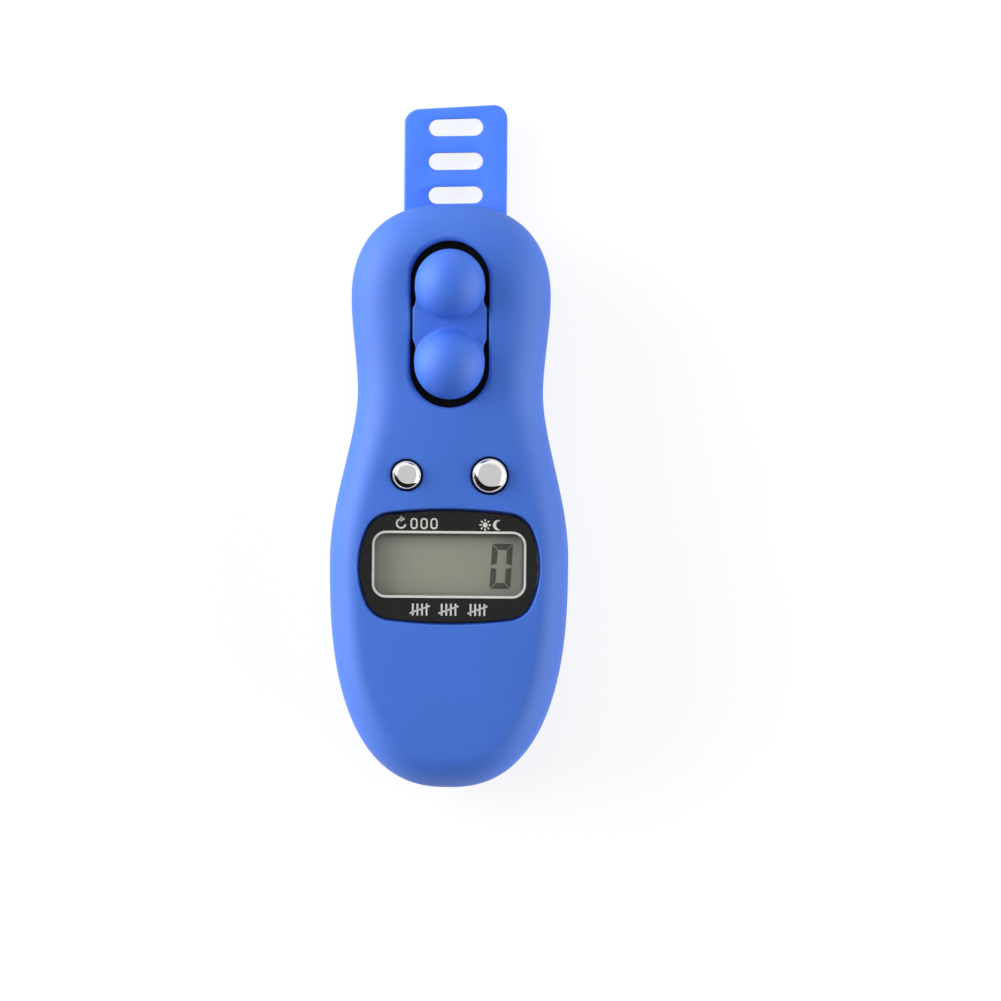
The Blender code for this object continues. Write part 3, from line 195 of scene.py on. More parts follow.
class DisplaySettings(PropertyGroup):
    black: colour("Black ink", "Colour of the print behind the lens", "#080708")
    white: colour("White ink", "Colour of the printed frame and marks", "#d9d9d3")
    glass: colour("Display", "Colour of the lit display", "#929385")
    segment: colour("Segment", "Colour of the dark segments", "#4e4c48")
    corner_top: length("Upper corners", "Radius of the upper corners of the lens", 3.8)
    corner_bottom: length("Lower corners", "Radius of the lower corners of the lens", 3.8)
    side_bow: length("Side bow", "How far the sides of the lens bow outwards", 0.7)
    end_bow: length("End bow", "How far the ends of the lens bow outwards", 0.5)
    lens_gap: length("Lens gap", "Gap round the lens", 0.2)
    lens_edge: length("Lens edge", "Width of the bevel round the lens", 0.22)
    lens_dome: length("Lens dome", "How far the lens rises to its middle", 0.12)
    frame_width: length("Frame width", "Outer width of the printed frame", 20.83)
    frame_height: length("Frame height", "Outer height of the printed frame", 9.05)
    frame_line: length("Frame line", "Thickness of the printed frame", 0.32)
    frame_corner: length("Frame corner", "Outer radius of the printed frame", 1.9)
    digit_width: length("Digit width", "Width of the displayed digit", 2.8)
    digit_height: length("Digit height", "Height of the displayed digit", 6.1)
    digit_stroke: length("Digit stroke", "Thickness of a segment", 0.82)


class BandSettings(PropertyGroup):
    silicone: colour("Silicone", "Colour of the finger band", "#4678e9")
    width: length("Width", "Width of the band", 14.0)
    thickness: length("Thickness", "Thickness of the band", 1.25)
    tail: length("Tail", "How far the band reaches past the body", 13.4)
    corner: length("Corner", "Radius of the corners of its free end", 2.0)
    edge: length("Edge", "Radius of its long edges", 0.3)
    root: length("Root", "Where the band leaves its anchor, measured along the body", 3.5)
    slot_length: length("Slot length", "Length of a slot across the band", 7.3)
    slot_width: length("Slot width", "Width of a slot", 2.3)
    slot_pitch: length("Slot pitch", "Distance from slot to slot", 4.6)
    slot_margin: length("Slot margin", "Distance of the first slot from the free end", 2.8)
    slots: IntProperty(name="Slots", description="Number of slots", default=8, min=1)


class StudioSettings(PropertyGroup):
    paper: colour("Paper", "Colour of the floor", "#f4f4f2")
    distance: length("Camera distance", "Height of the camera over the middle of the case", 1600.0)
    view_width: length("View", "Width that the picture covers at the middle of the case", 135.84)
    view: shift("View place", "How far the picture's middle lies from the origin", 6.9, -0.6)
    roll: rotation("Roll", "Turn of the camera about its view", 0.46)
    left: brightness("Left glow", "Brightness of the wall on the left", 12.0)
    right: brightness("Right glow", "Brightness of the wall on the right", 7.0)
    far: brightness("Far glow", "Brightness of the wall at the bead end", 0.45)
    walls: brightness("Walls", "Brightness of the walls low down", 0.44)
    ceiling: brightness("Ceiling", "Brightness of the room overhead", 0.08)
    mirrored: brightness("Mirrored", "Brightness overhead in reflections", 0.76)
    gap: brightness("Gap", "Darkness of the gap near the viewer", 1.0)
    panel: FloatProperty(name="Panel", description="Power of the overhead panel", default=0.30, unit="POWER")


SETTINGS = {
    "tally_case": CaseSettings,
    "tally_slider": SliderSettings,
    "tally_buttons": ButtonSettings,
    "tally_display": DisplaySettings,
    "tally_band": BandSettings,
    "tally_studio": StudioSettings,
}


# Forms


def smoothstep(t):
    t = min(max(t, 0.0), 1.0)
    return t * t * (3.0 - 2.0 * t)


def mixed(low, high, t):
    return low + (high - low) * t


def rounding(t, powers):
    """How much of its width a rounded end still has, t of the way to its tip."""
    inner, outer = powers
    return max(0.0, 1.0 - max(t, 0.0) ** inner) ** (1.0 / outer)


class Body:
    """The waisted form of the case, which both halves share."""

    def __init__(self, case):
        low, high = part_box("front_shell")
        self.case = case
        self.half_length = high.y
        self.bulge_width = high.x - low.x
        self.depth = high.z
        self.split = low.z - case.seam_gap / 2
        step = 2 * math.pi / case.rim_points
        self.rim = []
        for index in range(case.rim_points):
            turn = index * step
            along = self.outline_point(turn + step / 2) - self.outline_point(turn - step / 2)
            self.rim.append((self.outline_point(turn), Vector((along.y, -along.x)).normalized()))

    def half_width(self, y):
        case = self.case
        place = min(max(y / self.half_length, -1.0), 1.0)
        if place > case.waist_share:
            rise = smoothstep((place - case.waist_share) / (case.head_share - case.waist_share))
            width = mixed(case.waist_width, case.head_width, rise)
            width *= rounding((place - case.head_share) / (1.0 - case.head_share), BEAD_END_POWERS)
        else:
            way = min((case.waist_share - place) / (case.waist_share - case.bulge_share), 1.0)
            width = mixed(case.waist_width, self.bulge_width, smoothstep(way**FLANK_POWER))
            width *= rounding((case.bulge_share - place) / (1.0 + case.bulge_share), DISPLAY_END_POWERS)
        return width / 2

    def outline_point(self, turn):
        y = self.half_length * math.sin(turn)
        return Vector((math.copysign(self.half_width(y), math.cos(turn)), y))

    def outline(self, inset):
        return [point - normal * inset for point, normal in self.rim]

    def front_edge(self, y):
        case = self.case
        rise = smoothstep((y / self.half_length - case.bulge_share) / (case.head_share - case.bulge_share))
        return mixed(case.edge_bulge, case.edge_head, rise)

    def front_rings(self, inset, base, steps=16, crown_steps=12):
        """Rings of the front half's skin from its open edge up to the ridge of its crowned face."""
        edge_height = (self.depth - self.split) * FRONT_ROUNDING
        shoulder = self.depth - self.case.crown - edge_height
        rings = [[(*point, base) for point in self.outline(inset)]]
        for step in range(steps + 1):
            turn = math.pi / 2 * FRONT_TURN * step / steps
            height = shoulder + (edge_height - inset) * math.sin(turn)
            ring = []
            for point, normal in self.rim:
                width = self.front_edge(point.y)
                away = width - (width - inset) * math.cos(turn)
                ring.append((*(point - normal * away), height))
            rings.append(ring)
        edge = rings[-1]
        for step in range(crown_steps - 1, -1, -1):
            way = step / crown_steps
            ring = []
            for x, y, z in edge:
                ridge = min(max(y, RIDGE_LOW * self.half_length), RIDGE_HIGH * self.half_length)
                ring.append((x * way, mixed(ridge, y, way), mixed(self.depth - inset, z, way * way)))
            rings.append(ring)
        return rings

    def rear_rings(self, inset, base, steps=14):
        """Rings of the rear half's skin from its open edge down to the flat back."""
        width, edge_height = self.case.edge_rear, self.split * REAR_ROUNDING
        rings = [[(*point, base) for point in self.outline(inset)]]
        for step in range(steps + 1):
            turn = math.pi / 2 * step / steps
            away = width - (width - inset) * math.cos(turn)
            height = edge_height - (edge_height - inset) * math.sin(turn)
            rings.append([(*(point - normal * away), height) for point, normal in self.rim])
        return rings


def offset(points, distance):
    """A smooth outline moved outwards, by one distance or by one for each point."""
    count = len(points)
    distances = distance if isinstance(distance, list) else [distance] * count
    moved = []
    for index, point in enumerate(points):
        along = points[(index + 1) % count] - points[index - 1]
        moved.append(point + Vector((along.y, -along.x)).normalized() * distances[index])
    return moved


def bowed(start, end, bow, reach, outward, steps):
    """Points with normals along a shallow arc, from the middle of a side to its end."""
    if bow <= 0.0 or reach <= 0.0:
        return [(start, outward), (end, outward)]
    radius = (reach * reach + bow * bow) / (2 * bow)
    spread = math.asin(min(1.0, reach / radius))
    points = []
    for step in range(steps + 1):
        turn = spread * step / steps
        normal = (
            outward[0] * math.cos(turn) + outward[1] * math.sin(turn),
            outward[1] * math.cos(turn) + outward[0] * math.sin(turn),
        )
        points.append(([start[i] + (normal[i] - outward[i]) * radius for i in range(2)], normal))
    return points


def rounded_outline(width, height, corners, centre=(0, 0), bows=(0.0, 0.0), steps=10, side_steps=10):
    """A rectangle with round upper and lower corners, whose sides and ends may bow outwards."""
    points = []
    for sign, corner in ((1, corners[0]), (-1, corners[1])):
        x = width / 2 - corner - bows[0]
        y = height / 2 - corner - bows[1]
        side = bowed((x + bows[0], 0), (x, y), bows[0], y, (1, 0), side_steps)
        end = bowed((0, y + bows[1]), (x, y), bows[1], x, (0, 1), side_steps)
        start, stop = (math.atan2(normal[1], normal[0]) for normal in (side[-1][1], end[-1][1]))
        arc = [mixed(start, stop, step / steps) for step in range(1, steps)]
        quarter = side + [((x, y), (math.cos(turn), math.sin(turn))) for turn in arc] + end[::-1]
        loop = [(px + nx * corner, (py + ny * corner) * sign) for (px, py), (nx, ny) in quarter]
        half = loop + [(-px, py) for px, py in loop[::-1]]
        points += half if sign > 0 else half[::-1]
    outline = []
    for x, y in points:
        point = Vector((x + centre[0], y + centre[1]))
        if not outline or (point - outline[-1]).length > WELD:
            outline.append(point)
    if (outline[0] - outline[-1]).length <= WELD:
        outline.pop()
    return outline


def stadium(width, height, centre, steps=16):
    return rounded_outline(width, height, (width / 2, width / 2), centre, steps=steps)


def lying_stadium(width, reach, y, steps):
    """Points of a stadium that lies across the body."""
    return [(point.y, point.x + y) for point in stadium(width, reach, (0, 0), steps)[::-1]]


def circle(radius, centre, points=72):
    turns = [2 * math.pi * (index + 0.5) / points for index in range(points)]
    return [Vector((centre[0] + radius * math.cos(t), centre[1] + radius * math.sin(t))) for t in turns]


def rectangle(width, height, centre=(0, 0)):
    x, y = width / 2, height / 2
    return [Vector((centre[0] + a * x, centre[1] + b * y)) for a, b in ((-1, -1), (1, -1), (1, 1), (-1, 1))]


# Meshes


def placed(name, bm):
    """Makes an object of a mesh, with its points joined and its faces turned outwards."""
    bmesh.ops.remove_doubles(bm, verts=bm.verts, dist=WELD)
    bmesh.ops.dissolve_degenerate(bm, edges=bm.edges, dist=WELD)
    bmesh.ops.recalc_face_normals(bm, faces=bm.faces)
    mesh = bpy.data.meshes.new(name)
    bm.to_mesh(mesh)
    bm.free()
    made = bpy.data.objects.new(name, mesh)
    bpy.context.scene.collection.objects.link(made)
    return made


def add_loops(bm, loops, ends="capped"):
    """Skins loops of equal length.

    Both ends are capped, or joined to each other, or only the first is capped and the last closes on itself.
    """
    rows = [[bm.verts.new(point) for point in loop] for loop in loops]
    pairs = list(zip(rows, rows[1:]))
    if ends == "joined":
        pairs.append((rows[-1], rows[0]))
    for low, high in pairs:
        for index in range(len(low)):
            after = (index + 1) % len(low)
            bm.faces.new((low[index], low[after], high[after], high[index]))
    if ends != "joined":
        bm.faces.new(rows[0][::-1])
    if ends == "capped":
        bm.faces.new(rows[-1])


def looped(name, *bodies, ends="capped"):
    """An object of one or more separate bodies, each given as its loops."""
    bm = bmesh.new()
    for loops in bodies:
        add_loops(bm, loops, ends)
    return placed(name, bm)


def prism(outline, low, high):
    return [[(*point, height) for point in outline] for height in (low, high)]


def turned(profile, centre, points=96):
    """Loops of a profile of radii and heights turned about an upright axis."""
    return [[(*point, height) for point in circle(radius, centre, points)] for radius, height in profile]


def soft_prism(outline, low, high, edge, steps=5, both=True):
    """Loops of a flat piece with rounded upper edges, and lower ones too if both."""
    arc = [math.pi / 2 * step / steps for step in range(steps + 1)]
    levels = [(edge * (math.cos(turn) - 1), high - edge + edge * math.sin(turn)) for turn in arc]
    if both:
        levels = [(grow, low + high - height) for grow, height in levels[::-1]] + levels
    else:
        levels = [(0.0, low)] + levels
    return [[(*point, height) for point in offset(outline, grow)] for grow, height in levels]


def surface_heights(target, points, up=True):
    """Heights of a skin over or under points, found along the upright."""
    mesh = target.data
    tree = BVHTree.FromPolygons([v.co for v in mesh.vertices], [p.vertices for p in mesh.polygons])
    sign = 1 if up else -1
    heights = []
    for point in points:
        hit = tree.ray_cast(Vector((*point, sign * ABOVE)), Vector((0, 0, -sign)))[0]
        if hit is None:
            raise RuntimeError(f"{target.name} has no surface at {tuple(point)}")
        heights.append(hit.z)
    return heights


def flared(target, outline, deep, edge, up=True, steps=7):
    """Loops of a cutter whose mouth opens in a fillet where it meets the target's skin.

    The fillet has one radius, or one for each point of the outline.
    """
    sign = 1 if up else -1
    edges = edge if isinstance(edge, list) else [edge] * len(outline)
    heights = surface_heights(target, offset(outline, edges), up)
    loops = [[(*point, deep) for point in outline]]

    def add_loop(grow, rise, further=0.0):
        moved = offset(outline, [edge * grow for edge in edges])
        loops.append(
            [(*p, h + sign * (edge * rise + further)) for p, h, edge in zip(moved, heights, edges)]
        )

    for step in range(steps + 1):
        turn = FLARE_END * step / steps
        add_loop(1 - math.cos(turn), math.sin(turn) - 1)
    grow = 1 - math.cos(FLARE_END) + FLARE_RUN * math.sin(FLARE_END)
    rise = math.sin(FLARE_END) - 1 + FLARE_RUN * math.cos(FLARE_END)
    add_loop(grow, rise)
    add_loop(grow, rise, OVERRUN)
    return loops


def carve(target, *tools, operation="DIFFERENCE"):
    """Applies Boolean tools to a mesh and removes them."""
    for tool in tools:
        change = target.modifiers.new(tool.name, "BOOLEAN")
        change.operation = operation
        change.solver = "EXACT"
        change.object = tool
    evaluated = target.evaluated_get(bpy.context.evaluated_depsgraph_get())
    before, after = target.data, bpy.data.meshes.new_from_object(evaluated)
    if not after.polygons:
        raise RuntimeError(f"{target.name} was lost in a Boolean with {[tool.name for tool in tools]}")
    target.modifiers.clear()
    target.data = after
    bpy.data.meshes.remove(before)
    for tool in tools:
        bpy.data.objects.remove(tool, do_unlink=True)
    return target


def seat(piece, body, slot, material, *nodes, angle=SMOOTH_ANGLE):
    """Shades a finished piece, gives it its material, and puts it on its body in place of its CAD nodes."""
    piece.data.materials.clear()
    piece.data.materials.append(material)
    piece.data.shade_smooth()
    piece.data.set_sharp_from_angle(angle=angle)
    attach(piece, body)
    if nodes:
        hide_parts(*nodes)
    return piece


# Materials


def add(tree, kind, links=None, values=None, **settings):
    """Adds a shader node with its settings, its socket values and the links into it."""
    node = tree.nodes.new("ShaderNode" + kind)
    for name, value in settings.items():
        setattr(node, name, value)
    for socket, value in (values or {}).items():
        node.inputs[socket].default_value = value
    for socket, source in (links or {}).items():
        tree.links.new(source, node.inputs[socket])
    return node


def new_material(name, **values):
    """A material, its node tree and its shader, whose own sockets take the values."""
    made = bpy.data.materials.new(name)
    made.use_nodes = True
    shader = made.node_tree.nodes["Principled BSDF"]
    for socket, value in values.items():
        shader.inputs[socket.replace("_", " ")].default_value = value
    return made, made.node_tree, shader


def grained(tree, shader, colour, spread, patch, grain, rough, depth, stretch=(1.0, 1.0, 1.0)):
    """Mottles the colour by a share of it, in patches, and gives the surface a grain.

    The grain carries a range of roughness and a relief. Patch, grain and depth are in millimetres.
    """
    place = add(tree, "TexCoord").outputs["Object"]
    patches = add(tree, "TexNoise", {"Vector": place}, {"Scale": 1 / (patch * MM), "Detail": 2.0})
    ramp = add(tree, "ValToRGB", {"Fac": patches.outputs["Fac"]})
    for element, position, sign in zip(ramp.color_ramp.elements, (0.3, 0.7), (-1, 1)):
        element.position = position
        element.color = (*[min(1.0, part * (1 + sign * spread)) for part in colour], 1.0)
    tree.links.new(ramp.outputs["Color"], shader.inputs["Base Color"])
    worked = add(tree, "Mapping", {"Vector": place}, {"Scale": stretch}).outputs["Vector"]
    grains = add(tree, "TexNoise", {"Vector": worked}, {"Scale": 1 / (grain * MM), "Detail": 3.0})
    polish = add(
        tree,
        "MapRange",
        {"Value": grains.outputs["Fac"]},
        {"From Min": 0.3, "From Max": 0.7, "To Min": rough[0], "To Max": rough[1]},
    )
    tree.links.new(polish.outputs["Result"], shader.inputs["Roughness"])
    relief = add(tree, "Bump", {"Height": grains.outputs["Fac"]}, {"Distance": depth * MM})
    tree.links.new(relief.outputs["Normal"], shader.inputs["Normal"])


def wave_scale(spacing):
    """The scale of a wave texture with lines that far apart, which at one repeats every tenth of pi."""
    return math.pi / 10 / (spacing * MM)


def soft_touch_coat(colour):
    """Soft-touch paint sprayed on moulded ABS: a velvety blue that spreads its highlights wide."""
    made, tree, shader = new_material("soft_touch_coat", IOR=1.5)
    # The spray's grain is about 0.05 mm across; it is drawn at 0.4 mm so that a close view shows it
    grained(tree, shader, colour, spread=0.03, patch=11.0, grain=0.4, rough=(0.56, 0.66), depth=0.012)
    return made


def satin_abs(colour):
    """ABS moulded in a finely blasted tool: even, a little glossier than the coat round it."""
    made, tree, shader = new_material("satin_abs", IOR=1.54)
    # Blasting leaves marks of about 0.08 mm, drawn at 0.3 mm
    grained(tree, shader, colour, spread=0.03, patch=6.0, grain=0.3, rough=(0.58, 0.66), depth=0.006)
    return made


def moulded_silicone(colour):
    """Pressed silicone rubber: bright and matt, with the faint bloom that silicone takes on."""
    made, tree, shader = new_material("moulded_silicone", IOR=1.41, Sheen_Weight=0.05, Sheen_Roughness=0.4)
    # The mould's grain is 0.1 mm across, drawn at 0.5 mm
    grained(tree, shader, colour, spread=0.03, patch=5.0, grain=0.5, rough=(0.48, 0.60), depth=0.012)
    return made


def chrome_plate(colour):
    """Bright chrome plated on a polished moulding: a near mirror with the plate's faint haze."""
    made, tree, shader = new_material("chrome_plate", Metallic=1.0)
    # The haze comes from pits of a few thousandths of a millimetre, drawn at 0.8 mm
    grained(tree, shader, colour, spread=0.02, patch=1.5, grain=0.8, rough=(0.04, 0.08), depth=0.001)
    return made


def clear_acrylic(name, body):
    """Clear moulded acrylic: what lies behind shows through, under a thin mirror of the room."""
    made, tree, shader = new_material(name)
    tree.nodes.remove(shader)
    # Injection moulding leaves the surface very slightly wavy over a few millimetres
    wave, wave_depth = 5.0 * MM, 0.003 * MM
    place = add(tree, "TexCoord").outputs["Object"]
    waves = add(tree, "TexNoise", {"Vector": place}, {"Scale": 1 / wave, "Detail": 1.0})
    relief = add(tree, "Bump", {"Height": waves.outputs["Fac"]}, {"Distance": wave_depth})
    normal = relief.outputs["Normal"]
    gloss = add(tree, "BsdfGlossy", {"Normal": normal}, {"Roughness": 0.03, "Color": (1, 1, 1, 1)})
    clear = add(tree, "BsdfTransparent", None, {"Color": (*body, 1.0)})
    # An anti-glare coat on the acrylic keeps the mirror faint, so the print behind looks black
    mirror = add(tree, "Fresnel", {"Normal": normal}, {"IOR": 1.4})
    # Only the outer side mirrors: behind, the ink and the air of the case add next to nothing
    back = add(tree, "NewGeometry").outputs["Backfacing"]
    outer = add(tree, "Math", {1: back}, {0: 1.0}, operation="SUBTRACT").outputs["Value"]
    amount = add(tree, "Math", {0: mirror.outputs["Fac"], 1: outer}, operation="MULTIPLY").outputs["Value"]
    blend = add(tree, "MixShader", {0: amount, 1: clear.outputs["BSDF"], 2: gloss.outputs["BSDF"]})
    tree.links.new(blend.outputs["Shader"], tree.nodes["Material Output"].inputs["Surface"])
    return made


def screen_ink(name, colour, rough):
    """Ink screen-printed behind the acrylic: dense, with the slight mottle that the screen's mesh leaves.

    The ink wets the acrylic, so next to nothing is reflected between the two.
    """
    made, tree, shader = new_material(name, IOR=1.05)
    # The screen's threads are 0.1 mm apart; the mottle is drawn at 0.35 mm
    span = (rough - 0.05, rough + 0.05)
    grained(tree, shader, colour, spread=0.05, patch=0.35, grain=0.35, rough=span, depth=0.004)
    return made


def polariser_film(colour, centre, half):
    """Reflective display film behind glass: grey-green and even, with painted shade darkening its colour
    along the right and top edges.
    """
    made, tree, shader = new_material("polariser_film", IOR=1.5)
    # The reflector's brushed lines are 0.03 mm apart, drawn at 0.3 mm
    brushed, span = (1.0, 0.06, 1.0), (0.35, 0.45)
    grained(
        tree, shader, colour, spread=0.03, patch=7.0, grain=0.3, rough=span, depth=0.002, stretch=brushed
    )
    # How far the painted shade reaches in from the right and from the top, and how dark it is
    painted_shade_depths, painted_shade_dark = (0.45 * MM, 0.8 * MM), 0.22
    place = add(tree, "SeparateXYZ", {"Vector": add(tree, "TexCoord").outputs["Object"]}).outputs
    painted_shades = []
    for axis, middle_place, reach, depth in zip("XY", centre, half, painted_shade_depths):
        edge = middle_place + reach
        span = {"From Min": edge - depth, "From Max": edge}
        painted_shade = add(tree, "MapRange", {"Value": place[axis]}, span, interpolation_type="SMOOTHSTEP")
        painted_shades.append(painted_shade.outputs["Result"])
    painted_shade = add(tree, "Math", {0: painted_shades[0], 1: painted_shades[1]}, operation="MAXIMUM").outputs["Value"]
    even = shader.inputs["Base Color"].links[0].from_socket
    dark = (*[part * painted_shade_dark for part in colour], 1.0)
    # Painted shade: the film's colour is mixed darker towards the right and top edges of the frame's window
    mix = add(tree, "Mix", {0: painted_shade, 6: even}, {7: dark}, data_type="RGBA")
    tree.links.new(mix.outputs[2], shader.inputs["Base Color"])
    return made


def moulded_plastic(name, colour, rough):
    """ABS or nylon straight from the mould, with the tool's spark-eroded grain, which is drawn as it is."""
    made, tree, shader = new_material(name, IOR=1.53)
    span = (rough - 0.06, rough + 0.06)
    grained(tree, shader, colour, spread=0.05, patch=4.0, grain=0.25, rough=span, depth=0.01)
    return made


def glass_fibre_board(colour):
    """Glass-fibre laminate under green solder mask: the weave shows as a faint grid."""
    made, tree, shader = new_material("glass_fibre_board", IOR=1.55)
    grained(tree, shader, colour, spread=0.08, patch=6.0, grain=0.5, rough=(0.28, 0.40), depth=0.004)
    place = add(tree, "TexCoord").outputs["Object"]
    # The laminate's threads are 0.55 mm apart
    weaving = {"Scale": wave_scale(0.55), "Distortion": 0.6}
    across, along = (
        add(tree, "TexWave", {"Vector": place}, weaving, bands_direction=axis).outputs["Fac"] for axis in "XY"
    )
    weave = add(tree, "Math", {0: across, 1: along}, operation="MULTIPLY")
    relief = add(tree, "Bump", {"Height": weave.outputs["Value"]}, {"Distance": 0.01 * MM})
    tree.links.new(relief.outputs["Normal"], shader.inputs["Normal"])
    return made


def layered_rubber(colour):
    """Silicone strip of alternating clear and carbon-filled layers, seen as fine dark lines."""
    made, tree, shader = new_material("layered_rubber", IOR=1.41)
    grained(tree, shader, colour, spread=0.1, patch=1.0, grain=0.3, rough=(0.60, 0.75), depth=0.004)
    place = add(tree, "TexCoord").outputs["Object"]
    # The layers are 0.05 mm thick, drawn 0.2 mm apart
    layers = add(tree, "TexWave", {"Vector": place}, {"Scale": wave_scale(0.2)}, bands_direction="X")
    ramp = add(tree, "ValToRGB", {"Fac": layers.outputs["Fac"]})
    for element, darkness in zip(ramp.color_ramp.elements, (0.3, 1.0)):
        element.color = (*[part * darkness for part in colour], 1.0)
    tree.links.new(ramp.outputs["Color"], shader.inputs["Base Color"])
    return made


def plated_metal(name, colour, rough, stretch, grain):
    """Rolled or turned metal with a thin plated coat, whose grain follows how it was worked."""
    made, tree, shader = new_material(name, Metallic=1.0)
    span = (rough - 0.07, rough + 0.07)
    grained(
        tree, shader, colour, spread=0.05, patch=2.0, grain=grain, rough=span, depth=0.003, stretch=stretch
    )
    return made


# Operators


class TALLY_OT_front_case(Operator):
    """Front case half with the bead opening, the lens recess and the button holes"""

    bl_idname = "tally.front_case"
    bl_label = "Front case half"

    def execute(self, context):
        case, slider = context.scene.tally_case, context.scene.tally_slider
        display, buttons = context.scene.tally_display, context.scene.tally_buttons
        body = Body(case)
        base = body.split + case.seam_gap / 2
        rings = [[(*point, base) for point in body.outline(case.seam_edge)]]
        rings += body.front_rings(0.0, base + case.seam_edge)
        skin = looped("front_case", rings, ends="closing")

        # Collars of solid plastic stand round the bead opening and under the lens, which lies over a ledge
        collar, collar_depth = 1.2 * MM, 2.1 * MM
        ledge_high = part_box("display_lens")[0].z - 0.2 * MM
        ledge_low = ledge_high - 1.0 * MM
        rings = body.front_rings(case.wall, body.split - OVERRUN, 8, 4)
        cavity = looped("front_cavity", rings, ends="closing")
        beads = slider_centre(slider)
        opening = opening_outline(slider, beads)
        lens = lens_outline(display)
        blocks = looped(
            "front_blocks",
            prism(offset(opening, collar), body.depth - collar_depth, ABOVE),
            prism(offset(lens, collar), ledge_low, ABOVE),
        )
        carve(cavity, blocks)
        # The rear half's lip fits into a rebate
        rebate_inset, rebate_height = 0.8 * MM, 1.0 * MM
        rebate = prism(body.outline(rebate_inset), body.split - OVERRUN, body.split + rebate_height)
        rebate = looped("front_rebate", rebate)
        # The opening's edge rolls over more and more from beside the plate to both ends
        rolls = []
        for point in opening:
            past = (abs(point.y - beads.y) - 0.7 * slider.pitch / 2) / (0.5 * slider.pitch)
            rolls.append(mixed(case.side_roll, case.roll, smoothstep(past)))
        mouths = [
            flared(skin, opening, body.depth - 2 * OVERRUN, rolls),
            flared(skin, offset(lens, display.lens_gap), ledge_high, case.recess_edge),
        ]
        for node, diameter in (("reset_button", buttons.reset), ("light_button", buttons.light)):
            hole = circle(diameter / 2 + buttons.gap, middle(node).xy)
            mouths.append(flared(skin, hole, body.depth - 2 * OVERRUN, case.hole_edge))
        mouths = looped("front_mouths", *mouths)
        # The display shows through a window in the ledge
        window_width, window_height, window_corner = 21.8 * MM, 10.0 * MM, 1.5 * MM
        window_corners = (window_corner, window_corner)
        window = rounded_outline(window_width, window_height, window_corners, middle("display_lens").xy)
        window = looped("front_window", prism(window, ledge_low - OVERRUN, ledge_high + OVERRUN))
        carve(skin, cavity, rebate, mouths, window)
        seat(skin, "case", "case", soft_touch_coat(case.coat), "front_shell")
        return {"FINISHED"}


def slider_centre(slider):
    return middle("bead_slider").xy + Vector(slider.place)


def opening_outline(slider, centre):
    width = slider.plate_width + 2 * slider.side_gap
    height = slider.pitch + slider.bead + 2 * slider.end_gap
    return stadium(width, height, centre, 24)


def lens_outline(display):
    size = extent("display_lens")
    corners = (display.corner_top, display.corner_bottom)
    bows = (display.side_bow, display.end_bow)
    return rounded_outline(size.x, size.y, corners, middle("display_lens").xy, bows, 14, 12)


